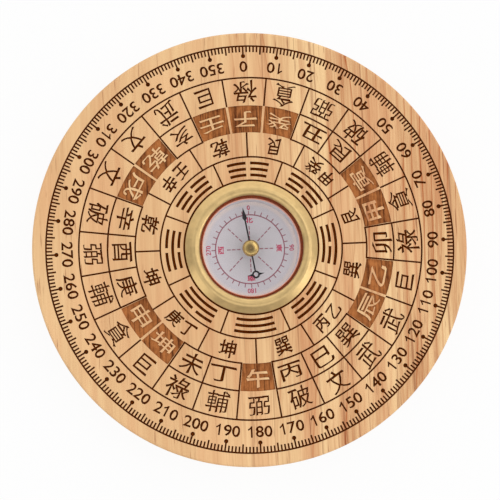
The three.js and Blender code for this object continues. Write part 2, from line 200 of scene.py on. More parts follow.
def colour(name, description, default):
    """A colour, given here as the eight-bit values that it shows."""
    return FloatVectorProperty(name=name, description=description, size=3, subtype='COLOR',
                               min=0.0, max=1.0, default=linear(default))


def linear(shown):
    """Shown eight-bit colour values as linear ones."""
    parts = []
    for value in shown:
        part = value / 255
        parts.append(part / 12.92 if part <= 0.04045 else ((part + 0.055) / 1.055) ** 2.4)
    return tuple(parts)


class CompassBoardSettings(PropertyGroup):
    """Sizes of the wooden board and of its rings."""

    tick_circle: length("Tick Circle", "Radius of the circle that the degree ticks hang from",
                        56.16 * MM)
    star_circle: length("Star Circle", "Radius of the circle inside the degree band",
                        47.25 * MM)
    mountain_circle: length("Mountain Circle", "Radius of the circle outside the mountains",
                            39.45 * MM)
    direction_circle: length("Direction Circle", "Radius of the circle inside the mountains",
                             31.91 * MM)
    trigram_circle: length("Trigram Circle", "Radius of the circle outside the trigrams",
                           25.07 * MM)
    line_width: length("Line Width", "Width of an engraved line", 0.46 * MM)
    tick_width: length("Tick Width", "Width of a degree tick", 0.47 * MM)
    short_tick: length("Short Tick", "Length of a one degree tick", 1.7 * MM)
    middle_tick: length("Middle Tick", "Length of a five degree tick", 2.35 * MM)
    long_tick: length("Long Tick", "Length of a ten degree tick, up to its dot", 2.8 * MM)
    dot_radius: length("Dot Radius", "Radius of the dot that ends a long tick", 0.6 * MM)
    bar_width: length("Bar Width", "Width of a trigram's bar", 0.78 * MM)
    bar_pitch: length("Bar Pitch", "Distance from one trigram bar to the next", 1.66 * MM)
    bar_reach: angle("Bar Reach", "Half the angle that a trigram's bar spans", 14.4)
    bar_gap: angle("Bar Gap", "Half the angle between the halves of a broken bar", 1.55)
    line_depth: length("Line Depth", "Depth of lines and signs", 0.32 * MM)
    sunk_depth: length("Sunk Depth", "Depth of the sunk cells", 0.26 * MM)
    edge_round: length("Edge Round", "Radius of the board's rounded edges", 0.7 * MM)
    pocket_play: length("Pocket Play", "Clear space under the can", 0.2 * MM)
    pocket_gap: length("Pocket Gap", "Clear space round the liner", 0.05 * MM)
    digit_height: length("Digit Height", "Height of the degree figures", 3.1 * MM)
    digit_circle: length("Digit Circle", "Radius of the figures' middles", 50.4 * MM)
    wood: colour("Wood", "Colour of the bare wood at its palest", (242, 203, 150))
    grain: colour("Grain", "Colour of the dark grain streaks", (174, 92, 44))
    burnt: colour("Burnt", "Colour of the burnt engraving", (86, 36, 2))
    sunk: colour("Sunk", "Colour of the sunk cells' floors", (184, 114, 62))
    sunk_grain: colour("Sunk Grain", "Colour of the sunk cells' grain", (75, 28, 6))


class CompassCapsuleSettings(PropertyGroup):
    """Sizes and finishes of the capsule."""

    opening: length("Opening", "Radius of the hole in the bezel", 14.25 * MM)
    bezel_roll: length("Bezel Roll", "From the opening out to the bezel's crest", 1.45 * MM)
    bezel_crown: length("Bezel Crown", "Radius over which the crest turns into the slope",
                        1.7 * MM)
    bezel_edge: length("Bezel Edge", "Height of the upright edge at the wood", 0.2 * MM)
    bezel_wall: length("Bezel Wall", "Thickness of the brass under the slope", 0.4 * MM)
    chamber: length("Chamber", "Radius of the chamber round the needle", 13.35 * MM)
    wall_slant: length("Wall Slant", "Cut at the top of the chamber's wall", 0.3 * MM)
    wall_round: length("Wall Round", "Round at the wall's corners", 0.06 * MM)
    glass_gap: length("Glass Gap", "Clear space between the wall and the glass", 0.02 * MM)
    glass_cut: length("Glass Cut", "Cut at the glass's upper edge", 0.2 * MM)
    washer_inset: length("Washer Inset", "How far the washer hides under the lip",
                         0.05 * MM)
    washer_round: length("Washer Round", "Round at the washer's corners", 0.05 * MM)
    dial_hole: length("Dial Hole", "Radius of the hole round the bushing", 0.95 * MM)
    dial_round: length("Dial Round", "Round at the dial's corners", 0.04 * MM)
    dial_circle: length("Dial Circle", "Radius of the printed degree circle", 9.7 * MM)
    dial_tick: length("Dial Tick", "Length of a printed tick", 1.15 * MM)
    print_width: length("Print Width", "Width of a printed line", 0.32 * MM)
    print_height: length("Print Height", "Thickness of the ink", 0.02 * MM)
    facets: IntProperty(name="Facets", description="Steps round a turned piece", default=192,
                        min=24)
    brass: colour("Brass", "Colour of the bezel's brass", (213, 182, 126))
    dial: colour("Dial", "Colour of the dial", (226, 221, 225))
    ink: colour("Ink", "Colour of the print's signs and figures", (208, 44, 92))
    line_ink: colour("Line Ink", "Colour of the print's lines", (158, 84, 102))
    wall: colour("Wall", "Colour of the ring round the dial", (150, 60, 14))


class CompassNeedleSettings(PropertyGroup):
    """Sizes of the needle."""

    reach: length("Reach", "Pivot to the arrow's point", 11.6 * MM)
    tail: length("Tail", "Pivot to the middle of the tail ring", 7.45 * MM)
    shaft: length("Shaft", "Width of the shaft", 0.42 * MM)
    arrow_length: length("Arrow Length", "Length of the arrow", 3.7 * MM)
    arrow_width: length("Arrow Width", "Width of the arrow", 1.3 * MM)
    arrow_barb: length("Arrow Barb", "Length of the arrow behind its widest place",
                       0.70 * MM)
    arrow_swell: length("Arrow Swell", "How far the arrow's front edges bow out", 0.05 * MM)
    ring_radius: length("Ring Radius", "Outer radius of the tail ring", 1.1 * MM)
    eye_radius: length("Eye Radius", "Radius of the hole in the tail ring", 0.6 * MM)
    horn_span: length("Horn Span", "Tip to tip of the horns", 5.0 * MM)
    horn_root: length("Horn Root", "Width of a horn where it leaves the eye", 0.9 * MM)
    horn_neck: length("Horn Neck", "Width that a horn's curve is drawn to", 0.6 * MM)
    turn: angle("Turn", "How far the needle rests anticlockwise of the 0 mark", 8.8)
    hub_inset: length("Hub Inset", "How far the blade's hub stays inside the cap",
                      0.22 * MM)
    hub_hole: length("Hub Hole", "Radius of the hole round the cap's rivet", 1.3 * MM)
    blade_round: length("Blade Round", "Rounding of the blade's edges", 0.03 * MM)
    cap_flat: length("Cap Flat", "Radius of the flat on the cap", 1.45 * MM)
    cap_crown: length("Cap Crown", "Rise of the flat towards the middle", 0.08 * MM)
    cap_shoulder: length("Cap Shoulder", "Height of the cap's upright side", 0.45 * MM)
    cap_cut: length("Cap Cut", "Cut at the cap's lower edge", 0.06 * MM)
    cap_neck: length("Cap Neck", "Radius of the rivet in the blade", 1.25 * MM)
    cap_rivet: length("Cap Rivet", "Radius of the rivet under the blade", 1.53 * MM)
    cap_bore: length("Cap Bore", "Radius of the bore that holds the jewel", 0.85 * MM)
    cap_roof: length("Cap Roof", "Thickness of the cap over the jewel", 0.55 * MM)
    dimple: length("Dimple", "Radius of the dimple in the cap", 0.60 * MM)
    dimple_depth: length("Dimple Depth", "Depth of the dimple", 0.14 * MM)
    cap_brass: colour("Cap Brass", "Colour of the cap's brass", (206, 174, 108))
    steel: colour("Steel", "Colour of the blackened blade", (34, 26, 31))


class CompassStudioSettings(PropertyGroup):
    """The camera of the photograph, and the studio."""

    focal: length("Focal Length", "Focal length on a 36 mm sensor", 91.3 * MM)
    distance: length("Distance", "Camera to the middle of the engraved face", 348.9 * MM)
    tilt_x: angle("Tilt X", "Turn of the view about its X axis", -4.39)
    tilt_y: angle("Tilt Y", "Turn of the view about its Y axis", 3.20)
    roll: angle("Roll", "Turn of the board in the picture", 2.444)
    middle_x: FloatProperty(name="Middle X", default=251.58, description="Pixel across, of "
                            "the middle of the engraved face in a picture 500 pixels wide")
    middle_y: FloatProperty(name="Middle Y", default=247.12, description="Pixel down, of "
                            "the middle of the engraved face in a picture 500 pixels high")


class Wire:
    """A node's socket whose arithmetic adds Math nodes."""

    def __init__(self, nodes, socket):
        self.nodes = nodes
        self.socket = socket

    def math(self, operation, *values):
        sockets = dict(enumerate((self,) + values))
        return self.nodes.node('ShaderNodeMath', {"operation": operation}, sockets)

    def __add__(self, other):
        return self.math('ADD', other)

    __radd__ = __add__

    def __sub__(self, other):
        return self.math('SUBTRACT', other)

    def __rsub__(self, other):
        return self.math('MULTIPLY_ADD', -1.0, other)

    def __mul__(self, other):
        return self.math('MULTIPLY', other)

    __rmul__ = __mul__

    def __truediv__(self, other):
        return self.math('DIVIDE', other)

    def fraction(self):
        return self.math('FRACT')

    def root(self):
        return self.math('SQRT')

    def step(self, low, high):
        """0 below low and 1 above high, smooth between."""
        sockets = {0: self, 1: low, 2: high, 3: 0.0, 4: 1.0}
        settings = {"interpolation_type": 'SMOOTHSTEP', "clamp": True}
        return self.nodes.node('ShaderNodeMapRange', settings, sockets)


class Nodes:
    """A node tree whose nodes are added by one method."""

    def __init__(self, tree):
        self.tree = tree

    def node(self, kind, settings=None, sockets=None, output=0):
        """Adds a node: its settings first, then the values or wires of its sockets."""
        node = self.tree.nodes.new(kind)
        for name, value in (settings or {}).items():
            setattr(node, name, value)
        for key, value in (sockets or {}).items():
            if isinstance(value, Wire):
                self.tree.links.new(value.socket, node.inputs[key])
            else:
                node.inputs[key].default_value = value
        return Wire(self, node.outputs[output]) if node.outputs else None

    def vector(self, x, y, z):
        return self.node('ShaderNodeCombineXYZ', sockets={0: x, 1: y, 2: z})


class Shader(Nodes):
    """The nodes of a material or a world."""

    def __init__(self, owner, place="Object"):
        owner.use_nodes = True
        super().__init__(owner.node_tree)
        self.owner = owner
        self.tree.nodes.clear()
        self.place = self.node('ShaderNodeTexCoord', output=place)
        self.millimetres = self.scaled(self.place, (1 / MM, 1 / MM, 1 / MM))

    def scaled(self, vector, factors):
        return self.node('ShaderNodeVectorMath', {"operation": 'MULTIPLY'},
                         {0: vector, 1: factors})

    def axes(self, vector):
        """The three parts of a vector."""
        first = self.node('ShaderNodeSeparateXYZ', sockets={0: vector})
        return [Wire(self, output) for output in first.socket.node.outputs]

    def cylinder(self):
        """The distance from the Z axis and the height, in millimetres."""
        x, y, z = self.axes(self.millimetres)
        return (x * x + y * y).root(), z

    def noise(self, factors, detail=2.0, roughness=0.5, source=None):
        """Noise over the place in millimetres, stretched by factors."""
        sockets = {"Vector": self.scaled(source or self.millimetres, factors), "Scale": 1.0,
                   "Detail": detail, "Roughness": roughness}
        return self.node('ShaderNodeTexNoise', {"noise_dimensions": '3D'}, sockets)

    def mix(self, factor, low, high):
        """A colour between two, which are wires or three linear values."""
        low, high = (value if isinstance(value, Wire) else (*value, 1.0)
                     for value in (low, high))
        return self.node('ShaderNodeMix', {"data_type": 'RGBA'},
                         {0: factor, 6: low, 7: high}, 2)

    def ray(self, *outputs):
        """The greatest of these facts about the ray, of which most are 0 or 1."""
        first, *others = [self.node('ShaderNodeLightPath', output=name) for name in outputs]
        for other in others:
            first = first.math('MAXIMUM', other)
        return first

    def bump(self, height, distance, strength):
        sockets = {"Height": height, "Distance": distance, "Strength": strength}
        return self.node('ShaderNodeBump', sockets=sockets)

    def surface(self, **values):
        """The Principled surface and the material's output."""
        names = {"colour": "Base Color", "roughness": "Roughness", "metallic": "Metallic",
                 "normal": "Normal", "alpha": "Alpha", "coat": "Coat Weight",
                 "specular": "Specular IOR Level"}
        sockets = {names[key]: value for key, value in values.items()}
        return self.finish(self.node('ShaderNodeBsdfPrincipled', sockets=sockets))

    def finish(self, surface, output='ShaderNodeOutputMaterial'):
        """Links the surface to the output, and gives the material or the world."""
        self.node(output, sockets={"Surface": surface})
        return self.owner


def material_shader(name):
    return Shader(bpy.data.materials.new(name))


def blend_colours(first, second, share):
    """A plain mixture of two linear colours."""
    return tuple(a + (b - a) * share for a, b in zip(first, second))


def scaled_colour(values, factor):
    return tuple(min(1.0, value * factor) for value in values)


def wood_finish(name, pale, streak):
    """Softwood sawn along the grain, which runs towards +Y, livelier towards +X."""
    shader = material_shader(name)
    x, y, z = shader.axes(shader.millimetres)
    edge = BOARD_HIGH[0] / MM
    face = BOARD_HIGH[2] / MM
    right = (x / edge).step(-0.55, 0.60)
    lively = right * 0.66 + 0.34
    drift = shader.noise((0.022, 0.008, 0.022), detail=1.0) - 0.5
    wander = shader.noise((0.11, 0.022, 0.11), detail=2.0) - 0.5
    ragged = shader.noise((0.9, 0.09, 0.9), detail=2.0) - 0.5
    # Growth rings round the heart. Each darkens slowly outwards and ends at once
    across = x + HEART_LEFT + drift * 26.0 + wander * 3.0 + ragged * 0.6
    above = z + HEART_BELOW
    rings = ((across * across + above * above).root()) / RING_PITCH
    part = rings.fraction()
    late = part.step(0.42, 0.86) * 0.35 + part.step(0.80, 0.92) * 0.65
    late = late * (1.0 - part.step(0.94, 1.0))
    each = shader.node('ShaderNodeTexWhiteNoise', {"noise_dimensions": '1D'},
                       {"W": rings - part})
    # The rest follows the rings too: each place slides along its ring nearly to the face
    reach = ((x + HEART_LEFT) * (x + HEART_LEFT) + above * above
             - (face + HEART_BELOW) ** 2)
    slid = shader.vector(reach.math('MAXIMUM', 1.0).root() - HEART_LEFT, y,
                         z * 0.15 + face * 0.85)
    # Broad zones, bands and hairs, then thin lines and short dark pores
    zone = shader.noise((0.070, 0.010, 0.070), detail=1.0, source=slid).step(0.38, 0.62)
    band = shader.noise((0.36, 0.009, 0.36), detail=3.0, roughness=0.6,
                        source=slid).step(0.36, 0.64)
    hair = shader.noise((1.9, 0.05, 1.9), detail=4.0, roughness=0.75, source=slid)
    line = shader.noise((1.15, 0.012, 1.15), detail=2.0, source=slid).step(0.61, 0.68)
    patch = shader.noise((0.045, 0.020, 0.045), detail=1.0, source=slid).step(0.40, 0.60)
    dash = shader.noise((1.7, 0.075, 1.7), detail=2.0, source=slid).step(0.645, 0.71)
    blush = shader.noise((0.13, 0.030, 0.13), detail=2.0, source=slid).step(0.40, 0.66)
    # Paler towards the rim and darker towards the middle
    rim = ((x * x + y * y).root() / edge).step(0.25, 1.05)
    tone = (0.34 - rim * 0.12 + right * 0.08
            + ((zone - 0.5) * 0.32 + (band - 0.5) * 0.40) * lively
            + (hair.step(0.38, 0.64) - 0.5) * (0.09 + right * 0.15)
            + late * each * (0.06 + right * 0.50) * (0.40 + zone * 0.80))
    ground = shader.mix(tone, pale, streak)
    rosy = shader.mix(blush * 0.30, ground, blend_colours(pale, (0.72, 0.22, 0.10), 0.5))
    dark = blend_colours(scaled_colour(streak, 0.3), (0.34, 0.06, 0.015), 0.5)
    lined = shader.mix(line * (0.07 + right * 0.42), rosy, dark)
    full = shader.mix(dash * (0.14 + patch * 0.46), lined, dark)
    height = hair * 0.7 + late * 0.4 - dash * 0.6
    normal = shader.bump(height, 0.03 * MM, 0.5)
    rough = 0.6 + late * 0.06 - hair * 0.05
    return shader.surface(colour=full, roughness=rough, normal=normal, specular=0.2)


def scorched_finish(name, base, streak):
    """Wood scorched unevenly by the engraving, so that its grain stands out dark."""
    shader = material_shader(name)
    broad = shader.noise((0.22, 0.10, 0.22), detail=2.0).step(0.36, 0.64)
    grain = shader.noise((1.00, 0.045, 1.00), detail=3.0, roughness=0.6).step(0.42, 0.64)
    mottle = shader.noise((1.3, 0.8, 1.3), detail=3.0).step(0.40, 0.66)
    dash = shader.noise((1.9, 0.10, 1.9), detail=1.0).step(0.60, 0.68)
    tone = broad * 0.22 + grain * 0.46 + mottle * 0.22
    grained = shader.mix(tone, base, streak)
    full = shader.mix(dash * 0.60, grained, scaled_colour(streak, 0.6))
    normal = shader.bump(grain + mottle * 0.5, 0.04 * MM, 0.5)
    return shader.surface(colour=full, roughness=0.8 + mottle * 0.1, normal=normal,
                          specular=0.1)


def burnt_finish(name, base):
    """Wood charred by the engraving, with a little ash and grain left."""
    shader = material_shader(name)
    grain = shader.noise((2.6, 0.25, 2.6), detail=3.0)
    ash = shader.noise((1.1, 1.1, 1.1), detail=2.0).step(0.52, 0.75)
    brown = shader.mix(grain.step(0.35, 0.7), scaled_colour(base, 0.7),
                       scaled_colour(base, 1.45))
    full = shader.mix(ash * 0.35, brown, scaled_colour(base, 1.9))
    normal = shader.bump(grain, 0.05 * MM, 0.6)
    return shader.surface(colour=full, roughness=0.9, normal=normal, specular=0.02)


def brass_finish(name, base, roughness, haze=0.12, grooves=7.0, painted_dark_spot=0.0):
    """Brass turned on a lathe, with faint tool marks and tarnish.

    The haze is how uneven its polish is, and the grooves are the tool marks in a
    millimetre. The painted dark spot is the radius, in millimetres, of a spot on the axis
    that is painted darker, a painted reflection of the dim room overhead.
    """
    shader = material_shader(name)
    radius, z = shader.cylinder()
    marks = shader.node('ShaderNodeTexNoise', {"noise_dimensions": '1D'},
                        {"W": radius * grooves + z * grooves, "Scale": 1.0, "Detail": 2.0})
    cloud = shader.noise((0.35, 0.35, 0.35), detail=3.0)
    tarnish = shader.noise((0.9, 0.9, 0.9), detail=4.0).step(0.5, 0.78)
    full = shader.mix(cloud.step(0.3, 0.7), scaled_colour(base, 0.9),
                      scaled_colour(base, 1.06))
    aged = shader.mix(tarnish * 0.35, full, blend_colours(base, (0.30, 0.20, 0.07), 0.5))
    # A spot painted darker on the axis: a painted dark reflection on the cap's flat and in its
    # dimple
    if painted_dark_spot:
        ragged = radius + (cloud - 0.5) * painted_dark_spot
        spot = 1.0 - ragged.step(painted_dark_spot * 0.3, painted_dark_spot * 1.2)
        aged = shader.mix(spot * 0.8, aged, blend_colours(base, (0.06, 0.015, 0.01), 0.75))
    rough = roughness + cloud * haze + marks * (haze / 2)
    normal = shader.bump(marks, 0.012 * MM, haze * 3)
    return shader.surface(colour=aged, metallic=1.0, roughness=rough, normal=normal)


def wall_finish(name, rim, low):
    """Chamber ring: red lip, painted reflection of the dial below, painted highlight between."""
    shader = material_shader(name)
    _, z = shader.cylinder()
    mottle = shader.noise((2.0, 2.0, 2.0), detail=3.0)
    lip = SPACER_HIGH[2] / MM
    red = shader.mix(mottle.step(0.3, 0.7), scaled_colour(rim, 0.8), scaled_colour(rim, 1.2))
    # A pale salmon line on the lip's cut, a painted highlight
    painted_highlight_line = shader.mix(z.step(lip - 0.12, lip - 0.06), (0.90, 0.45, 0.33), red)
    # Below the lip the wall takes the dial's colour, a painted reflection of the dial
    full = shader.mix(z.step(lip - 0.50, lip - 0.40), low, painted_highlight_line)
    normal = shader.bump(mottle, 0.01 * MM, 0.4)
    return shader.surface(colour=full, roughness=0.5 + mottle * 0.1, normal=normal,
                          specular=0.1)


def dial_finish(name, base):
    """Matt enamel with painted shade at its middle and painted light from the wall at its rim.
    """
    shader = material_shader(name)
    mottle = shader.noise((3.0, 3.0, 3.0), detail=3.0)
    wash = shader.noise((0.12, 0.12, 0.12), detail=1.0)
    radius, _ = shader.cylinder()
    # Painted shade and light: the enamel is painted darker at its middle and brighter outwards,
    # against the shade of the wall
    shaded = shader.mix(radius.step(2.0, 14.0), scaled_colour(base, 0.85),
                        scaled_colour(base, 1.07))
    toned = shader.mix(mottle.step(0.3, 0.75) * 0.4 + wash * 0.3, shaded,
                       scaled_colour(base, 0.96))
    # Warm painted light near the rim, standing in for light thrown back onto the dial by the
    # wall
    full = shader.mix(radius.step(11.8, 13.0), toned, (0.95, 0.84, 0.79))
    normal = shader.bump(mottle, 0.004 * MM, 0.3)
    return shader.surface(colour=full, roughness=0.6 + mottle * 0.1, normal=normal,
                          specular=0.3)


def ink_finish(name, base):
    """Printed ink that thins a little here and there."""
    shader = material_shader(name)
    wear = shader.noise((2.2, 2.2, 2.2), detail=3.0).step(0.45, 0.72)
    full = shader.mix(wear * 0.5, base, blend_colours(base, (0.60, 0.55, 0.60), 0.45))
    return shader.surface(colour=full, roughness=0.5 + wear * 0.2)


def steel_finish(name, base, roughness, metallic=1.0, specular=0.5):
    """Rolled steel, with fine scratches along it."""
    shader = material_shader(name)
    scratches = shader.noise((9.0, 0.5, 9.0), detail=3.0)
    full = shader.mix(scratches.step(0.4, 0.7), base, scaled_colour(base, 1.5))
    normal = shader.bump(scratches, 0.004 * MM, 0.3)
    return shader.surface(colour=full, metallic=metallic, roughness=roughness
                          + scratches * 0.15, normal=normal, specular=specular)


def moulded_finish(name, base):
    """Moulded rubber with a slight grain."""
    shader = material_shader(name)
    grain = shader.noise((2.5, 2.5, 2.5), detail=3.0)
    full = shader.mix(grain.step(0.35, 0.7), scaled_colour(base, 0.85),
                      scaled_colour(base, 1.2))
    normal = shader.bump(grain, 0.01 * MM, 0.4)
    return shader.surface(colour=full, roughness=0.7 + grain * 0.12, normal=normal)


def glass_finish(name):
    """Clear flat glass with a trace of smear."""
    shader = material_shader(name)
    smear = shader.noise((0.25, 0.6, 0.25), detail=3.0).step(0.4, 0.8)
    return shader.surface(colour=(0.2, 0.2, 0.2, 1.0), roughness=0.03 + smear * 0.05,
                          alpha=0.04 + smear * 0.01)


def jewel_finish(name):
    """Polished red jewel."""
    shader = material_shader(name)
    cloud = shader.noise((1.5, 1.5, 1.5), detail=2.0)
    full = shader.mix(cloud, (0.30, 0.02, 0.05), (0.55, 0.05, 0.10))
    return shader.surface(colour=full, roughness=0.08 + cloud * 0.05, coat=0.5)


def around(radius, bearing):
    """The plan point at a radius and a bearing in degrees clockwise of the 0 mark."""
    turn = math.radians(bearing)
    return (radius * math.sin(turn), radius * math.cos(turn))


def circle_loop(radius, steps=BOARD_STEPS):
    """A full circle, anticlockwise."""
    return [around(radius, -360 * i / steps) for i in range(steps)]


def ring_loops(radius, width, steps=BOARD_STEPS):
    """The outer and the inner edge of a circular line."""
    return [circle_loop(radius + width / 2, steps), circle_loop(radius - width / 2, steps)[::-1]]


def shifted(loop, x, y):
    """The same loop in another place."""
    return [(x + across, y + along) for across, along in loop]


def sector_loop(inner, outer, start, end, step=1.25):
    """A piece of a ring between two radii and two bearings."""
    steps = max(1, math.ceil((end - start) / step))
    bearings = [start + (end - start) * i / steps for i in range(steps + 1)]
    outside = [around(outer, bearing) for bearing in bearings]
    inside = [around(inner, bearing) for bearing in reversed(bearings)]
    return outside + inside


def spokes_tree():
    """Geometry nodes for bars that stand round a circle like spokes."""
    tree = bpy.data.node_groups.new("Spokes", 'GeometryNodeTree')
    inputs = (("Count", 'Int', 12), ("Width", 'Float', 0.3), ("Length", 'Float', 2.0),
              ("Height", 'Float', 0.1), ("Inner Radius", 'Float', 10.0),
              ("First Bearing", 'Float', 0.0), ("Material", 'Material', None))
    for name, kind, value in inputs:
        socket = tree.interface.new_socket(name, in_out='INPUT',
                                           socket_type='NodeSocket' + kind)
        if value is not None:
            socket.default_value = value
    tree.interface.new_socket("Geometry", in_out='OUTPUT',
                              socket_type='NodeSocketGeometry')
    nodes = Nodes(tree)
    outputs = tree.nodes.new('NodeGroupInput').outputs
    count, width, reach, height, inner, first, material = [
        Wire(nodes, outputs[name]) for name, _, _ in inputs]

    points = nodes.node('GeometryNodeMeshLine',
                        sockets={"Count": count, "Offset": (0.0, 0.0, 0.0)})
    bar = nodes.node('GeometryNodeMeshCube',
                     sockets={"Size": nodes.vector(width, reach, height)})
    move = nodes.vector(0.0, reach.math('MULTIPLY_ADD', 0.5, inner), height * 0.5)
    placed = nodes.node('GeometryNodeTransform',
                        sockets={"Geometry": bar, "Translation": move})
    share = nodes.node('GeometryNodeInputIndex') / count
    turn = share.math('MULTIPLY_ADD', -math.tau, first * -math.radians(1))
    copies = nodes.node('GeometryNodeInstanceOnPoints', sockets={
        "Points": points, "Instance": placed, "Rotation": nodes.vector(0.0, 0.0, turn)})
    real = nodes.node('GeometryNodeRealizeInstances', sockets={"Geometry": copies})
    finish = nodes.node('GeometryNodeSetMaterial',
                        sockets={"Geometry": real, "Material": material})
    nodes.node('NodeGroupOutput', sockets={"Geometry": finish})
    return tree


def grown(tree, settings):
    """The plain mesh that a geometry nodes tree makes with these named inputs."""
    blank = bpy.data.meshes.new("grower")
    host = bpy.data.objects.new("grower", blank)
    bpy.context.scene.collection.objects.link(host)
    modifier = host.modifiers.new("Grow", 'NODES')
    modifier.node_group = tree
    for item in tree.interface.items_tree:
        if item.in_out == 'INPUT' and item.name in settings:
            modifier[item.identifier] = settings[item.name]
    graph = bpy.context.evaluated_depsgraph_get()
    mesh = bpy.data.meshes.new_from_object(host.evaluated_get(graph))
    bpy.data.objects.remove(host)
    bpy.data.meshes.remove(blank)
    return mesh


def spokes(count, inner, outer, width, first=0.0):
    """The outlines of bars round a circle, seen from above, in millimetres."""
    tree = bpy.data.node_groups.get("Spokes") or spokes_tree()
    mesh = grown(tree, {"Count": count, "Inner Radius": inner, "Length": outer - inner,
                        "Width": width, "First Bearing": first})
    loops = [[tuple(mesh.vertices[i].co.xy) for i in face.vertices]
             for face in mesh.polygons if face.normal.z > 0.5]
    bpy.data.meshes.remove(mesh)
    return loops


def outline_loops(mesh):
    """The closed outlines round a flat filled mesh, holes included."""
    form = bmesh.new()
    form.from_mesh(mesh)
    bmesh.ops.remove_doubles(form, verts=form.verts, dist=1e-5)
    after = {}
    for edge in form.edges:
        if len(edge.link_faces) == 1:
            corner = edge.link_loops[0]
            after.setdefault(corner.vert.index, []).append(corner.link_loop_next.vert.index)
    form.verts.ensure_lookup_table()
    loops = []
    while after:
        start = next(iter(after))
        loop = []
        here = start
        while here in after:
            loop.append(tuple(form.verts[here].co.xy))
            onward = after[here].pop()
            if not after[here]:
                del after[here]
            here = onward
        if len(loop) > 2:
            loops.append(loop)
    form.free()
    return loops


class Lettering:
    """Outlines of signs and figures, each drawn once by Blender's own font."""

    def __init__(self):
        self.drawn = {}

    def loops(self, text, weight, pen=0.0, flare=0.0):
        """The outlines of a text of size 1, with its box's middle at the origin."""
        key = (text, weight, pen, flare)
        if key not in self.drawn:
            curve = bpy.data.curves.new("lettering", 'FONT')
            curve.body = text
            curve.resolution_u = 3
            text_object = bpy.data.objects.new("lettering", curve)
            bpy.context.scene.collection.objects.link(text_object)
            graph = bpy.context.evaluated_depsgraph_get()
            mesh = bpy.data.meshes.new_from_object(text_object.evaluated_get(graph))
            loops = [brushed(loop, weight, pen, flare) for loop in outline_loops(mesh)]
            bpy.data.objects.remove(text_object)
            bpy.data.curves.remove(curve)
            bpy.data.meshes.remove(mesh)
            self.drawn[key] = centred(loops)
        return self.drawn[key]


def brushed(loop, weight, pen, flare):
    """A loop whose left side is filled, drawn again with a brush.

    It moves outwards by about the weight, which swells and thins from place to place. The
    pen adds to upright strokes and takes from level ones. A stroke's end is pulled out at
    its first corner by the flare, and widened a little.
    """
    points = [Vector(point) for point in loop]
    count = len(points)
    onwards = [(points[(i + 1) % count] - points[i]).normalized() for i in range(count)]
    turns = [onwards[i - 1].cross(onwards[i]) for i in range(count)]
    moved = []
    for i, here in enumerate(points):
        back = onwards[i - 1]
        onward = onwards[i]
        bisector = back + onward
        if bisector.length < 0.5:
            bisector = back.copy()
        bisector.normalize()
        out = Vector((bisector.y, -bisector.x))
        waves = [math.sin(pace * part + start)
                 for part, (pace, start) in zip(here, SWELL_WAVES)]
        swell = 1.0 + SWELL * waves[0] * waves[1]
        reach = weight * swell + pen * (out.x * out.x - out.y * out.y)
        place = here + out * (reach / max(0.5, bisector.dot(onward)))
        for first, along, share in zip((i, (i - 1) % count), (-onward, back), END_PULL):
            last = (first + 1) % count
            short = (points[last] - points[first]).length < STROKE_END
            if short and turns[first] > SHARP_TURN and turns[last] > SHARP_TURN:
                end = Vector((onwards[first].y, -onwards[first].x))
                place += (end * share + along * END_SPREAD) * flare
        moved.append(tuple(place))
    return moved


def centred(loops):
    """Loops moved so that their common box's middle is the origin, with the box's size."""
    xs = [x for loop in loops for x, _ in loop]
    ys = [y for loop in loops for _, y in loop]
    middle_x = (min(xs) + max(xs)) / 2
    middle_y = (min(ys) + max(ys)) / 2
    moved = [[(x - middle_x, y - middle_y) for x, y in loop] for loop in loops]
    return moved, max(xs) - min(xs), max(ys) - min(ys)


def placed_loops(drawn, radius, bearing, width, height, inward=True, slant=0.0,
                 clockwise=0.0, outward=0.0):
    """Sized outlines set on a circle, with their tops towards the middle or away from it."""
    loops, drawn_width, drawn_height = drawn
    facing = math.pi if inward else 0.0
    turn = Matrix.Rotation(facing - math.radians(bearing), 2)
    centre = Vector(around(radius + outward, bearing)) + clockwise * Vector(
        around(1.0, bearing + 90))
    placed = []
    for loop in loops:
        points = []
        for x, y in loop:
            wide = x * width / drawn_width
            high = y * height / drawn_height + slant * wide
            points.append(tuple(centre + turn @ Vector((wide, high))))
        placed.append(points)
    return placed


def stroke_change(sign):
    """What a sign's own strokes add to its ring's weight."""
    return CROWDED_CHANGE if sign in CROWDED else OPEN_CHANGE.get(sign, 0.0)


def sign_loops(letters, sign, radius, bearing, fit, hand, change=0.0):
    """A sign in its cell, fitted and written in its ring's hand."""
    cell, slant, weight = hand
    drawn = letters.loops(sign, weight + change, PEN, FLARE)
    wide, high, clockwise, outward = fit
    width = cell[0] * wide * drawn[1] / FULL_WIDTH
    height = cell[1] * high * drawn[2] / FULL_HEIGHT
    return placed_loops(drawn, radius, bearing, width, height, True, slant, clockwise,
                        outward)


def figure_loops(letters, figure, radius, bearing, height, clockwise):
    """A figure of the degree band."""
    if figure == "1":
        drawn = [ONE], 1.0, 1.0
        width = height
    else:
        drawn = letters.loops(figure, FIGURE_WEIGHT)
        width = height * drawn[1] / drawn[2] * FIGURE_STRETCH
    return placed_loops(drawn, radius, bearing, width, height, clockwise=clockwise)


def turns_round(places, loops):
    """How many more times the loops go round each place one way than the other."""
    turns = numpy.zeros(len(places), dtype=int)
    x, y = places.T
    for loop in loops:
        for (start_x, start_y), (end_x, end_y) in zip(loop, loop[1:] + loop[:1]):
            if start_y != end_y:
                level = (y < start_y) != (y < end_y)
                crossing = start_x + (y - start_y) * (end_x - start_x) / (end_y - start_y)
                turns += (level & (x < crossing)) * (1 if end_y > start_y else -1)
    return turns


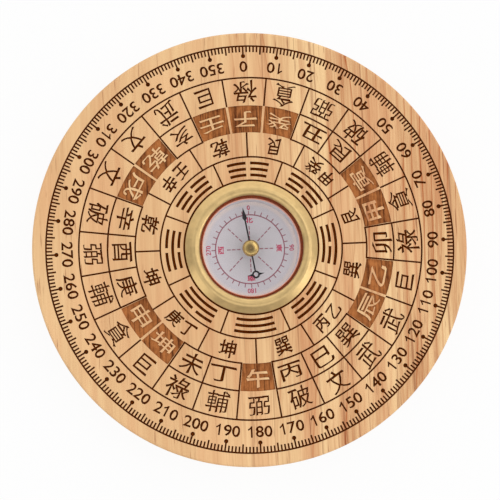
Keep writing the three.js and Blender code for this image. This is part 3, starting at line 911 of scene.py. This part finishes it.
class Plan:
    """Flat marks that may overlap, cut together into one sheet of triangles.

    A place is in a mark when the mark's loops go round it, less those that turn back.
    """

    def __init__(self):
        self.points = []
        self.edges = []
        self.marks = []

    def add(self, kind, loops):
        """One mark, of one or more loops."""
        self.marks.append((kind, loops))
        for loop in loops:
            first = len(self.points)
            count = len(loop)
            self.points.extend(Vector(point) for point in loop)
            self.edges.extend((first + i, first + (i + 1) % count) for i in range(count))

    def each(self, kind, loops):
        """Each loop as a mark of its own."""
        for loop in loops:
            self.add(kind, [loop])

    def sheet(self):
        """Points, triangles, and the kinds of mark that each triangle lies in."""
        points, _, faces, _, _, _ = delaunay_2d_cdt(self.points, self.edges, [], 0, 1e-5,
                                                    False)
        corners = numpy.array([tuple(point) for point in points])
        middles = corners[numpy.array(faces)].mean(axis=1)
        kinds = [set() for _ in faces]
        for kind, loops in self.marks:
            outline = numpy.array([point for loop in loops for point in loop])
            close = ((middles >= outline.min(axis=0)) & (middles <= outline.max(axis=0)))
            near = numpy.flatnonzero(close.all(axis=1))
            for index in near[turns_round(middles[near], loops) != 0]:
                kinds[index].add(kind)
        return points, faces, kinds


def circles(sizes):
    """The board's circles from the outside in, and the width of its lines, in millimetres."""
    return [size / MM for size in (
        sizes.tick_circle, sizes.star_circle, sizes.mountain_circle,
        sizes.direction_circle, sizes.trigram_circle, sizes.line_width)]


def board_plan(sizes):
    """The circles, ticks and dividers that are cut into the board's face."""
    tick_circle, star, mountain, direction, trigram, line = circles(sizes)
    bezel = BEZEL_HIGH[0] / MM + line / 2
    plan = Plan()
    for radius in (tick_circle, star, trigram, bezel):
        plan.add("line", ring_loops(radius, line))

    tick = sizes.tick_width / MM
    for count, reach in ((360, sizes.short_tick), (72, sizes.middle_tick),
                         (36, sizes.long_tick)):
        plan.each("line", spokes(count, tick_circle - reach / MM, tick_circle, tick))
    dot = circle_loop(sizes.dot_radius / MM, DOT_STEPS)
    for number in range(36):
        x, y = around(tick_circle - sizes.long_tick / MM, number * 10)
        plan.add("line", [shifted(dot, x, y)])
    plan.each("line", spokes(24, mountain, star, line, 7.5))
    plan.each("line", spokes(12, trigram, direction, line))
    plan.each("line", spokes(8, bezel, trigram, line, 22.5))
    return plan


def add_mountains(plan, sizes, letters):
    """The mountain band: plain cells are outlined, sunk cells keep a thin rib between."""
    _, _, mountain, direction, _, line = circles(sizes)
    middle = (mountain + direction) / 2
    rib = math.degrees(line * RIB_WIDTH / 2 / middle)
    for number, sign in enumerate(MOUNTAINS):
        bearing = number * 15
        start = bearing - 7.5
        end = bearing + 7.5
        sunk = sign in SUNK
        after = MOUNTAINS[(number + 1) % len(MOUNTAINS)] in SUNK
        if sunk:
            plan.add("sunk", [sector_loop(direction, mountain, start + rib, end - rib)])
        else:
            for radius in (direction, mountain):
                plan.add("line", [sector_loop(radius - line / 2, radius + line / 2,
                                              start, end)])
        if not (sunk and after):
            centre = Vector(around(middle, end))
            along = Vector(around(1.0, end)) * (mountain - direction + line) / 2
            across = Vector(around(1.0, end + 90)) * line / 2
            plan.add("line", [[tuple(centre + along - across), tuple(centre - along - across),
                               tuple(centre - along + across), tuple(centre + along + across)]])
        loops = sign_loops(letters, sign, middle, bearing, MOUNTAIN_FITS[sign],
                           MOUNTAIN_HAND, stroke_change(sign))
        plan.add("raised" if sunk else "line", loops)


def add_signs(plan, sizes, letters):
    """Signs of the star band and the direction band, and the figures of the degree band."""
    _, star, mountain, direction, trigram, _ = circles(sizes)
    for number, sign in enumerate(STARS):
        plan.add("line", sign_loops(letters, sign, (star + mountain) / 2, number * 15,
                                    STAR_FITS[sign], STAR_HAND, stroke_change(sign)))
    for number, signs in enumerate(DIRECTIONS):
        single = len(signs) == 1
        for place, sign in enumerate(signs):
            fit = DIRECTION_FITS[sign] if single else PAIR_FIT
            bearing = number * 30 + 15 - (place - (len(signs) - 1) / 2) * PAIR_SPREAD
            plan.add("line", sign_loops(letters, sign, (direction + trigram) / 2, bearing,
                                        fit, SINGLE_HAND if single else PAIR_HAND))
    for number in range(0, 360, 10):
        text = str(number)
        for place, figure in enumerate(text):
            shift = ((len(text) - 1) / 2 - place) * FIGURE_PITCH * sizes.digit_height / MM
            plan.add("line", figure_loops(letters, figure, sizes.digit_circle / MM, number,
                                          sizes.digit_height / MM, shift))


def add_trigrams(plan, sizes):
    """Eight trigrams of three bars each between the bezel and the trigram circle."""
    middle = (BEZEL_HIGH[0] + sizes.trigram_circle) / 2 / MM
    half = sizes.bar_width / MM / 2
    reach = math.degrees(sizes.bar_reach)
    gap = math.degrees(sizes.bar_gap)
    for number, bars in enumerate(TRIGRAMS):
        bearing = number * 45
        for row, bar in enumerate(bars):
            radius = middle + (1 - row) * sizes.bar_pitch / MM
            spans = [(-reach, reach)] if bar == "1" else [(-reach, -gap), (gap, reach)]
            for start, end in spans:
                loop = sector_loop(radius - half, radius + half, bearing + start,
                                   bearing + end)
                plan.add("line", [loop])


FACE, BURNT, SUNK_FLOOR = range(3)


def sheet_corners(form, points):
    """A function that gives a form's vertex at a plan's point and a height in metres."""
    corners = {}

    def corner(point, height):
        key = (point, height)
        if key not in corners:
            x, y = points[point]
            corners[key] = form.verts.new((x * MM, y * MM, height))
        return corners[key]

    return corner


def engraved_form(plan, sizes, face_radius, pocket_radius):
    """The board's face with each mark cut to its depth, and the walls between levels."""
    top = BOARD_HIGH[2]
    levels = {FACE: top, BURNT: top - sizes.line_depth, SUNK_FLOOR: top - sizes.sunk_depth}
    plan.add("board", [circle_loop(face_radius)])
    plan.add("pocket", [circle_loop(pocket_radius, POCKET_STEPS)])
    points, faces, kinds = plan.sheet()

    def level_of(inside):
        if "line" in inside:
            return BURNT
        if "sunk" in inside and "raised" not in inside:
            return SUNK_FLOOR
        return FACE

    form = bmesh.new()
    corner = sheet_corners(form, points)
    sides = {}
    for face, inside in zip(faces, kinds):
        if "board" not in inside or "pocket" in inside:
            continue
        level = level_of(inside)
        tile = form.faces.new([corner(point, levels[level]) for point in face])
        tile.material_index = level
        for start, end in zip(face, face[1:] + face[:1]):
            sides.setdefault(frozenset((start, end)), []).append((start, end, level))
    for pair in sides.values():
        if len(pair) != 2 or pair[0][2] == pair[1][2]:
            continue
        (start, end, upper), (_, _, lower) = sorted(pair, key=lambda side: -levels[side[2]])
        high = levels[upper]
        low = levels[lower]
        wall = form.faces.new([corner(end, high), corner(start, high), corner(start, low),
                               corner(end, low)])
        wall.material_index = lower if upper == FACE else BURNT
    return form


def finished_mesh(form, name):
    """A form as a mesh. The form is used up."""
    mesh = bpy.data.meshes.new(name)
    form.to_mesh(mesh)
    form.free()
    return mesh


def edges_past(form, degrees):
    """The edges where two faces meet at more than an angle."""
    return [edge for edge in form.edges if len(edge.link_faces) == 2
            and edge.calc_face_angle() > math.radians(degrees)]


def mark_crisp(form):
    """Keeps smooth shading off a form's crisp edges."""
    for edge in edges_past(form, CRISP):
        edge.smooth = False


def arc(centre_radius, centre_height, wide, high, start, end, steps):
    """Profile points on a part of an ellipse, between two angles in degrees."""
    points = []
    for i in range(steps + 1):
        turn = math.radians(start + (end - start) * i / steps)
        points.append((centre_radius + wide * math.cos(turn),
                       centre_height + high * math.sin(turn)))
    return points


def turned_rings(form, profile, steps, closed, smooth=True):
    """Adds a profile of (radius, height) points, turned about Z, to a form.

    The profile runs up the outside and down the inside, so that the faces point out.
    """
    rings = []
    for radius, height in profile:
        if radius < 1e-9:
            rings.append([form.verts.new((0.0, 0.0, height))])
            continue
        ring = []
        for i in range(steps):
            x, y = around(radius, -360 * i / steps)
            ring.append(form.verts.new((x, y, height)))
        rings.append(ring)
    pairs = list(zip(rings, rings[1:]))
    if closed:
        pairs.append((rings[-1], rings[0]))
    for low, high in pairs:
        for i in range(steps):
            j = (i + 1) % steps
            if len(low) == 1 and len(high) == 1:
                continue
            if len(low) == 1:
                face = form.faces.new([low[0], high[j], high[i]])
            elif len(high) == 1:
                face = form.faces.new([low[i], low[j], high[0]])
            else:
                face = form.faces.new([low[i], low[j], high[j], high[i]])
            face.smooth = smooth


def supported(profile, closed, reach=0.05 * MM):
    """A profile with a point near each end of its long straight parts.

    They keep the smooth shading of its corners out of the parts between.
    """
    result = []
    last = len(profile) - 1
    for i, point in enumerate(profile):
        result.append(point)
        if i == last and not closed:
            break
        start = Vector(point)
        end = Vector(profile[(i + 1) % len(profile)])
        if (end - start).length > 4 * reach:
            along = (end - start).normalized() * reach
            result.extend((tuple(start + along), tuple(end - along)))
    return result


def turned_mesh(name, profile, steps, closed=True):
    """A turned piece as a mesh, with its crisp edges marked."""
    form = bmesh.new()
    turned_rings(form, supported(profile, closed), steps, closed)
    mark_crisp(form)
    return finished_mesh(form, name)


def softened(profile, bevel):
    """A closed profile with each corner cut to a small round of two steps."""
    soft = []
    count = len(profile)
    for i, point in enumerate(profile):
        here = Vector(point)
        before = Vector(profile[i - 1]) - here
        after = Vector(profile[(i + 1) % count]) - here
        cut = min(bevel, before.length * 0.45, after.length * 0.45)
        first = here + before.normalized() * cut
        last = here + after.normalized() * cut
        soft += [tuple(first), tuple((first + last) / 2 * 0.5 + here * 0.5), tuple(last)]
    return soft


def washer_profile(inner, outer, low, high, bevel):
    """A flat ring's profile, with its corners softened."""
    return softened([(inner, low), (outer, low), (outer, high), (inner, high)], bevel)


def add_piece(name, mesh, materials, body, replaced=()):
    """A finished mesh as an object that rides on its body."""
    piece = bpy.data.objects.new(name, mesh)
    bpy.context.scene.collection.objects.link(piece)
    for material in materials:
        mesh.materials.append(material)
    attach(piece, body)
    if replaced:
        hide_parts(*replaced)


def add_turned(name, profile, sizes, finish, node, closed=True):
    """A turned piece of the capsule, in the place of a CAD node."""
    mesh = turned_mesh(name, profile, sizes.facets, closed)
    add_piece(name, mesh, [finish], BODY, [node])


def paint_node(name, material):
    """Gives a CAD node that stays its finish."""
    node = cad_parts[name]
    node.data.materials.clear()
    node.data.materials.append(material)


class COMPASS_OT_board(Operator):
    """Build the wooden board with its engraved rings"""

    bl_idname = "compass.board"
    bl_label = "Wooden Board"
    bl_options = {'REGISTER', 'UNDO'}

    def execute(self, context):
        sizes = context.scene.compass_board
        letters = Lettering()
        plan = board_plan(sizes)
        add_mountains(plan, sizes, letters)
        add_signs(plan, sizes, letters)
        add_trigrams(plan, sizes)

        top = BOARD_HIGH[2]
        edge = sizes.edge_round
        flat = BOARD_HIGH[0] - edge
        pocket_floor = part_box("housing_cup")[0][2] - sizes.pocket_play
        pocket_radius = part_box("grip_ring")[1][0] + sizes.pocket_gap
        form = engraved_form(plan, sizes, flat / MM, pocket_radius / MM)
        outside = (arc(flat, edge, edge, edge, -90, 0, 6)
                   + arc(flat, top - edge, edge, edge, 0, 90, 6))
        turned_rings(form, [(0.0, 0.0)] + outside, BOARD_STEPS, closed=False)
        turned_rings(form, [(pocket_radius, top), (pocket_radius, pocket_floor),
                            (0.0, pocket_floor)], POCKET_STEPS, closed=False, smooth=False)
        bmesh.ops.remove_doubles(form, verts=form.verts, dist=1e-7)
        wood = wood_finish("honey_wood", sizes.wood, sizes.grain)
        burnt = burnt_finish("burnt_wood", sizes.burnt)
        sunk = scorched_finish("sunk_wood", sizes.sunk, sizes.sunk_grain)
        add_piece("engraved_board", finished_mesh(form, "engraved_board"),
                  [wood, burnt, sunk], BODY, ["wooden_disc"])
        return {'FINISHED'}


class COMPASS_OT_bezel(Operator):
    """Build the rolled brass bezel"""

    bl_idname = "compass.bezel"
    bl_label = "Brass Bezel"
    bl_options = {'REGISTER', 'UNDO'}

    def execute(self, context):
        sizes = context.scene.compass_capsule
        outer = BEZEL_HIGH[0]
        low = BEZEL_LOW[2]
        high = BEZEL_HIGH[2]
        lip = GASKET_HIGH[2]
        roll = sizes.bezel_roll
        crest = sizes.opening + roll
        crown = sizes.bezel_crown
        edge = sizes.bezel_edge
        reach = outer - crest
        rise = high - crown - low - edge
        # The slope runs straight from the edge and just touches the round of the crown
        slope = math.asin(crown / math.hypot(reach, rise)) + math.atan2(rise, reach)
        hollow = outer - (sizes.bezel_wall / math.cos(slope) - edge) / math.tan(slope)
        ceiling = hollow - (lip - low) / math.tan(slope)
        round_off = edge / 3
        profile = [(outer, low), (outer, low + edge - round_off),
                   (outer - round_off * math.cos(slope), low + edge
                    + round_off * math.sin(slope))]
        profile += arc(crest, high - crown, crown, crown, 90 - math.degrees(slope), 90, 12)
        profile += arc(crest, lip, roll, high - lip, 90, 180, 20)[1:]
        profile += [(ceiling, lip), (hollow, low)]
        brass = brass_finish("bezel_brass", sizes.brass, roughness=0.26)
        add_turned("rolled_bezel", profile, sizes, brass, "bezel_ring")
        return {'FINISHED'}


class COMPASS_OT_chamber(Operator):
    """Build the spacer, the washer and the glass that close the chamber"""

    bl_idname = "compass.chamber"
    bl_label = "Chamber And Glass"
    bl_options = {'REGISTER', 'UNDO'}

    def execute(self, context):
        sizes = context.scene.compass_capsule
        inner = sizes.chamber
        outer = SPACER_HIGH[0]
        low = SPACER_LOW[2]
        # It ends just under the glass, so that the two faces don't fight in a render
        high = SPACER_HIGH[2] - sizes.glass_gap
        slant = sizes.wall_slant
        profile = softened([(inner, low), (outer, low), (outer, high), (inner + slant, high),
                            (inner, high - slant)], sizes.wall_round)
        wall = wall_finish("spacer_plastic", sizes.wall, sizes.dial)
        add_turned("chamber_wall", profile, sizes, wall, "spacer_ring")

        profile = washer_profile(sizes.opening + sizes.washer_inset, GASKET_HIGH[0],
                                 GASKET_LOW[2], GASKET_HIGH[2], sizes.washer_round)
        rubber = moulded_finish("gasket_rubber", scaled_colour(sizes.wall, 0.5))
        add_turned("glass_washer", profile, sizes, rubber, "lens_gasket")

        radius = GLASS_HIGH[0]
        low = GLASS_LOW[2]
        high = GLASS_HIGH[2]
        cut = sizes.glass_cut
        profile = [(0.0, low), (radius - cut / 2, low), (radius, low + cut / 2),
                   (radius, high - cut), (radius - cut, high), (0.0, high)]
        add_turned("flat_glass", profile, sizes, glass_finish("lens_glass"),
                   "glass_lens", closed=False)
        return {'FINISHED'}


def line_plan(sizes):
    """The print's circle, ticks and dashes."""
    plan = Plan()
    circle = sizes.dial_circle / MM
    line = sizes.print_width / MM
    plan.add("ink", ring_loops(circle, line, PRINT_STEPS))
    plan.each("ink", spokes(36, circle, circle + sizes.dial_tick / MM, line * TICK_WIDTH))
    for first, inner, outer, dashes in DASH_ROWS:
        pitch = (outer - inner) / dashes
        for dash in range(dashes):
            start = inner + dash * pitch
            plan.each("ink", spokes(4, start, start + pitch * DASH_SHARE,
                                    line * DASH_WIDTH, first))
    return plan


def sign_plan():
    """The print's signs and figures."""
    letters = Lettering()
    plan = Plan()
    for number, sign in enumerate(CARDINALS):
        drawn = letters.loops(sign, CARDINAL_WEIGHT)
        plan.add("ink", placed_loops(drawn, CARDINAL_CIRCLE, number * 90, *CARDINAL_SIZE,
                                     inward=False))
        drawn = letters.loops(str(number * 90), QUARTER_WEIGHT)
        width = QUARTER_HEIGHT * drawn[1] / drawn[2]
        plan.add("ink", placed_loops(drawn, QUARTER_CIRCLE, number * 90, width,
                                     QUARTER_HEIGHT, inward=False))
    return plan


def raised_mesh(name, plan, raised, low, high):
    """A plan's triangles of a raised kind, as a flat solid between two heights."""
    points, faces, kinds = plan.sheet()
    form = bmesh.new()
    corner = sheet_corners(form, points)
    sides = {}
    for face, inside in zip(faces, kinds):
        if raised not in inside or "hole" in inside:
            continue
        form.faces.new([corner(point, high) for point in face])
        form.faces.new([corner(point, low) for point in reversed(face)])
        for start, end in zip(face, face[1:] + face[:1]):
            if (end, start) in sides:
                del sides[(end, start)]
            else:
                sides[(start, end)] = True
    for start, end in sides:
        form.faces.new([corner(end, high), corner(start, high), corner(start, low),
                        corner(end, low)])
    return finished_mesh(form, name)


class COMPASS_OT_dial(Operator):
    """Build the dial and its print"""

    bl_idname = "compass.dial"
    bl_label = "Dial"
    bl_options = {'REGISTER', 'UNDO'}

    def execute(self, context):
        sizes = context.scene.compass_capsule
        profile = washer_profile(sizes.dial_hole, DIAL_HIGH[0], DIAL_LOW[2], DIAL_HIGH[2],
                                 sizes.dial_round)
        enamel = dial_finish("dial_enamel", sizes.dial)
        add_turned("enamel_dial", profile, sizes, enamel, "dial_plate")
        low = DIAL_HIGH[2]
        for name, plan, ink in (("dial_lines", line_plan(sizes), sizes.line_ink),
                                ("dial_signs", sign_plan(), sizes.ink)):
            add_piece(name, raised_mesh(name, plan, "ink", low, low + sizes.print_height),
                      [ink_finish(name + "_ink", ink)], BODY)
        return {'FINISHED'}


def curve(start, pull, end, steps=8):
    """Points of a curve from start towards end, bent towards the pull."""
    points = []
    for i in range(steps):
        part = i / steps
        shares = ((1 - part) ** 2, 2 * part * (1 - part), part ** 2)
        points.append(tuple(sum(share * point[axis] for share, point in
                                zip(shares, (start, pull, end))) for axis in (0, 1)))
    return points


def mirrored(points):
    """The same points on the other side of the Y axis, in the opposite order."""
    return [(-x, y) for x, y in reversed(points)]


def blade_mesh(sizes):
    """The blade's outline as one sheet, raised to its thickness and turned to its rest."""
    reach = sizes.reach / MM
    tail = sizes.tail / MM
    half = sizes.shaft / MM / 2
    wide = sizes.arrow_width / MM / 2
    base = reach - sizes.arrow_length / MM
    widest = base + sizes.arrow_barb / MM
    plan = Plan()
    pull = (-wide / 2 - sizes.arrow_swell / MM, (reach + widest) / 2)
    left = curve((0.0, reach), pull, (-wide, widest))
    left += [(-wide, widest), (-half, base), (-half, -tail)]
    plan.add("steel", [left + mirrored(left[1:])])
    hub = ((CAP_HIGH[0] - CAP_LOW[0]) / 2 - sizes.hub_inset) / MM
    plan.add("steel", [circle_loop(hub, NEEDLE_STEPS)])
    ring = sizes.ring_radius / MM
    eye = sizes.eye_radius / MM
    plan.add("steel", [shifted(circle_loop(ring, NEEDLE_STEPS), 0.0, -tail)])
    plan.add("hole", [shifted(circle_loop(eye, NEEDLE_STEPS), 0.0, -tail)])
    plan.add("hole", [circle_loop(sizes.hub_hole / MM, NEEDLE_STEPS)])
    tip = (sizes.horn_span / MM / 2, 0.0)
    pull = (ring, sizes.horn_neck / MM / 2)
    root = (eye, sizes.horn_root / MM / 2)
    upper = [tip] + curve(tip, pull, root)[1:] + [root]
    right = [(x, -y) for x, y in reversed(upper)] + upper[1:]
    for horn in (right, mirrored(right)):
        plan.add("steel", [shifted(horn, 0.0, -tail)])
    mesh = raised_mesh("steel_blade", plan, "steel", BLADE_LOW[2], BLADE_HIGH[2])
    mesh.transform(Matrix.Rotation(sizes.turn, 4, 'Z'))
    return mesh


def with_rounded_edges(mesh, width):
    """A mesh with its flat faces joined and its sharp edges rounded."""
    form = bmesh.new()
    form.from_mesh(mesh)
    bmesh.ops.remove_doubles(form, verts=form.verts, dist=1e-8)
    bmesh.ops.dissolve_limit(form, angle_limit=math.radians(1), verts=form.verts,
                             edges=form.edges)
    bmesh.ops.bevel(form, geom=edges_past(form, 60), offset=width, segments=2, profile=0.5,
                    affect='EDGES', clamp_overlap=True)
    bmesh.ops.recalc_face_normals(form, faces=form.faces)
    form.to_mesh(mesh)
    form.free()
    return mesh


class COMPASS_OT_needle(Operator):
    """Build the needle and its cap"""

    bl_idname = "compass.needle"
    bl_label = "Needle"
    bl_options = {'REGISTER', 'UNDO'}

    def execute(self, context):
        sizes = context.scene.compass_needle
        blade = with_rounded_edges(blade_mesh(sizes), sizes.blade_round)
        steel = steel_finish("blackened_steel", sizes.steel, roughness=0.5, metallic=0.1,
                             specular=0.15)
        add_piece("steel_blade", blade, [steel], NEEDLE, ["needle_blade"])

        low = BLADE_HIGH[2]
        high = CAP_HIGH[2]
        bottom = CAP_LOW[2]
        radius = (CAP_HIGH[0] - CAP_LOW[0]) / 2
        flat = sizes.cap_flat
        shoulder = low + sizes.cap_shoulder
        brim = high - sizes.cap_crown
        neck = sizes.cap_neck
        bore = sizes.cap_bore
        cut = sizes.cap_cut
        profile = [(bore, bottom), (sizes.cap_rivet, bottom), (neck, BLADE_LOW[2]),
                   (neck, low), (radius - cut, low), (radius, low + cut)]
        profile += arc(flat, shoulder, radius - flat, brim - shoulder, 0, 84, 14)
        profile += arc(0.0, brim, flat, high - brim, 15, 75, 6)
        profile += [(sizes.dimple * part, high - sizes.dimple_depth * depth)
                    for part, depth in DIMPLE]
        roof = high - sizes.cap_roof
        form = bmesh.new()
        turned_rings(form, supported(profile, False), POCKET_STEPS, closed=False)
        turned_rings(form, [(0.0, roof), (bore, roof), (bore, bottom)], POCKET_STEPS,
                     closed=False)
        bmesh.ops.remove_doubles(form, verts=form.verts, dist=1e-8)
        mark_crisp(form)
        brass = brass_finish("cap_brass", sizes.cap_brass, roughness=0.10, haze=0.06,
                             grooves=5.0, painted_dark_spot=1.2)
        add_piece("turned_cap", finished_mesh(form, "turned_cap"), [brass], NEEDLE,
                  ["needle_cap"])
        paint_node("jewel_bearing", jewel_finish("red_jewel"))
        return {'FINISHED'}


class COMPASS_OT_inner_parts(Operator):
    """Finish the can, its liner, the bushing and the pin"""

    bl_idname = "compass.inner_parts"
    bl_label = "Inner Parts"
    bl_options = {'REGISTER', 'UNDO'}

    def execute(self, context):
        brass = context.scene.compass_capsule.brass
        paint_node("housing_cup", brass_finish("can_brass", scaled_colour(brass, 0.9),
                                               roughness=0.4))
        paint_node("grip_ring", moulded_finish("liner_rubber", (0.022, 0.018, 0.016)))
        paint_node("pivot_bushing", brass_finish("bushing_brass", scaled_colour(brass, 0.8),
                                                 roughness=0.35))
        paint_node("pivot_pin", steel_finish("pin_steel", (0.35, 0.35, 0.36),
                                             roughness=0.2))
        return {'FINISHED'}


# Half the side of the floor in metres, its distance under the board, the share of plain
# white in its look, and how near a ray has to start to pass through
FLOOR_HALF = 3.0
FLOOR_GAP = 0.02 * MM
FLOOR_WHITE = 0.92
FLOOR_CLEAR = 0.1 * MM

# The side of the photograph in pixels, and of the camera's sensor in millimetres
PICTURE = 500.0
SENSOR = 36.0

# Lamps of the studio: bearing and height above the table and width in the sky, in degrees,
# and strength
LAMPS = {
    "high_lamp": (60, 66, 28, 0.205),
    "window_lamp": (90, 42, 28, 0.130),
    "low_lamp": (105, 25, 10, 0.098),
    "right_lamp": (120, 18, 28, 0.270),
    "left_lamp": (240, 18, 28, 0.214),
}

# Strength of the room's light: from all round, then added from +Y, +X, -Y and -X
WALL_LIGHT = (0.385, 0.920, 0.376, 0.120, 0.142)
CEILING_LIGHT = (0.126, 0.680, 0.348, 1.024, 0.546)
OVERHEAD_LIGHT = 0.447
# Sines of the heights between which the walls turn into the ceiling, and the ceiling into
# what hangs overhead
CEILING_EDGE = (0.55, 0.80)
OVERHEAD_EDGE = (0.93, 0.995)


def soft_lamp(name, bearing, height, width, strength):
    """A far, soft lamp that lights the compass from a bearing."""
    light = bpy.data.lights.new(name, 'SUN')
    light.angle = math.radians(width)
    light.energy = strength
    lamp = bpy.data.objects.new(name, light)
    rise = math.radians(height)
    lamp.location = (*around(math.cos(rise), bearing), math.sin(rise))
    lamp.rotation_euler = lamp.location.to_track_quat('Z', 'Y').to_euler()
    bpy.context.scene.collection.objects.link(lamp)


def floor_finish():
    """White paper that takes the object's shadow, and looks near white, in metal too.

    It lets through what meets it from below, and what leaves the object's underside, so
    that the underside can be looked at.
    """
    shader = material_shader("white_paper")
    speck = shader.noise((0.05, 0.05, 0.05), detail=3.0)
    paper = shader.mix(speck, (0.84, 0.84, 0.84), (0.88, 0.88, 0.88))
    diffuse = shader.node('ShaderNodeBsdfDiffuse', sockets={"Color": paper})
    white = shader.node('ShaderNodeEmission', sockets={"Color": (1.0, 1.0, 1.0, 1.0),
                                                       "Strength": 1.0})
    looking = shader.ray("Is Camera Ray", "Is Glossy Ray", "Is Transmission Ray")
    mixed = shader.node('ShaderNodeMixShader',
                        sockets={0: looking * FLOOR_WHITE, 1: diffuse, 2: white})
    behind = shader.node('ShaderNodeNewGeometry', output="Backfacing")
    close = shader.ray("Ray Length").math('LESS_THAN', FLOOR_CLEAR)
    clear = shader.node('ShaderNodeBsdfTransparent')
    return shader.finish(shader.node('ShaderNodeMixShader', sockets={
        0: behind.math('MAXIMUM', close), 1: mixed, 2: clear}))


def studio_air():
    """A room that is brighter on some sides and dim where the camera hangs.

    The camera sees it as plain white, and the brass mirrors it as it is.
    """
    world = bpy.data.worlds.new("studio_air")
    shader = Shader(world, "Generated")
    x, y, z = shader.axes(shader.place)
    flat = (1.0 - z * z).math('MAXIMUM', 1e-4).root()
    east = x / flat
    north = y / flat
    sides = [side.math('MAXIMUM', 0.0) for side in (north, east, -1.0 * north, -1.0 * east)]

    def level(lights):
        total = lights[0]
        for side, light in zip(sides, lights[1:]):
            total = side * light + total
        return total

    ceiling = z.step(*CEILING_EDGE)
    overhead = z.step(*OVERHEAD_EDGE)
    light = ((1.0 - ceiling) * level(WALL_LIGHT) + ceiling * (1.0 - overhead)
             * level(CEILING_LIGHT) + overhead * OVERHEAD_LIGHT)
    seen = shader.ray("Is Camera Ray")
    sky = shader.node('ShaderNodeBackground', sockets={
        "Color": (1.0, 1.0, 1.0, 1.0), "Strength": seen + (1.0 - seen) * light})
    return shader.finish(sky, 'ShaderNodeOutputWorld')


class COMPASS_OT_stage(Operator):
    """Set the floor, the lamps, the world and the camera of the photograph"""

    bl_idname = "compass.stage"
    bl_label = "Stage"
    bl_options = {'REGISTER', 'UNDO'}

    def execute(self, context):
        studio = context.scene.compass_studio
        scene = context.scene
        form = bmesh.new()
        bmesh.ops.create_grid(form, x_segments=2, y_segments=2, size=FLOOR_HALF)
        floor = bpy.data.objects.new("paper_floor", finished_mesh(form, "paper_floor"))
        floor.location.z = -FLOOR_GAP
        floor.data.materials.append(floor_finish())
        scene.collection.objects.link(floor)

        scene.world = studio_air()
        for name, (bearing, height, width, strength) in LAMPS.items():
            soft_lamp(name, bearing, height, width, strength)

        turn = (Matrix.Rotation(math.hypot(studio.tilt_x, studio.tilt_y), 3,
                                Vector((studio.tilt_x, studio.tilt_y, 0.0)))
                @ Matrix.Rotation(studio.roll, 3, 'Z'))
        view = turn.transposed()
        target = Vector((0.0, 0.0, BOARD_HIGH[2]))
        lens = bpy.data.cameras.new("photo_camera")
        lens.sensor_width = SENSOR
        lens.lens = studio.focal / MM
        lens.clip_start = 0.01
        lens.clip_end = 20.0
        lens.shift_x = 0.5 - studio.middle_x / PICTURE
        lens.shift_y = studio.middle_y / PICTURE - 0.5
        camera = bpy.data.objects.new("photo_camera", lens)
        camera.matrix_world = (Matrix.Translation(target + view @ Vector((0.0, 0.0,
                               studio.distance))) @ view.to_4x4())
        scene.collection.objects.link(camera)
        scene.camera = camera
        scene.view_settings.view_transform = 'Standard'
        return {'FINISHED'}


GROUPS = {
    "compass_board": CompassBoardSettings,
    "compass_capsule": CompassCapsuleSettings,
    "compass_needle": CompassNeedleSettings,
    "compass_studio": CompassStudioSettings,
}
OPERATORS = (COMPASS_OT_stage, COMPASS_OT_board, COMPASS_OT_bezel, COMPASS_OT_chamber,
             COMPASS_OT_dial, COMPASS_OT_needle, COMPASS_OT_inner_parts)


class COMPASS_PT_sidebar(Panel):
    """Sizes, colours and steps of the compass"""

    bl_label = "Feng Shui Compass"
    bl_idname = "COMPASS_PT_sidebar"
    bl_space_type = 'VIEW_3D'
    bl_region_type = 'UI'
    bl_category = "Compass"

    def draw(self, context):
        layout = self.layout
        for group in GROUPS:
            box = layout.box()
            settings = getattr(context.scene, group)
            for name in settings.bl_rna.properties.keys():
                if name not in ("name", "rna_type"):
                    box.prop(settings, name)
        for operator in OPERATORS:
            layout.operator(operator.bl_idname)


def register():
    for group in GROUPS.values():
        bpy.utils.register_class(group)
    for operator in OPERATORS:
        bpy.utils.register_class(operator)
    bpy.utils.register_class(COMPASS_PT_sidebar)
    for name, group in GROUPS.items():
        setattr(bpy.types.Scene, name, PointerProperty(type=group))


def unregister():
    for name in GROUPS:
        delattr(bpy.types.Scene, name)
    bpy.utils.unregister_class(COMPASS_PT_sidebar)
    for operator in reversed(OPERATORS):
        bpy.utils.unregister_class(operator)
    for group in reversed(list(GROUPS.values())):
        bpy.utils.unregister_class(group)


def main():
    """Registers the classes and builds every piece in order."""
    register()
    bpy.ops.compass.stage()
    bpy.ops.compass.board()
    bpy.ops.compass.bezel()
    bpy.ops.compass.chamber()
    bpy.ops.compass.dial()
    bpy.ops.compass.needle()
    bpy.ops.compass.inner_parts()


if __name__ == "__main__":
    main()
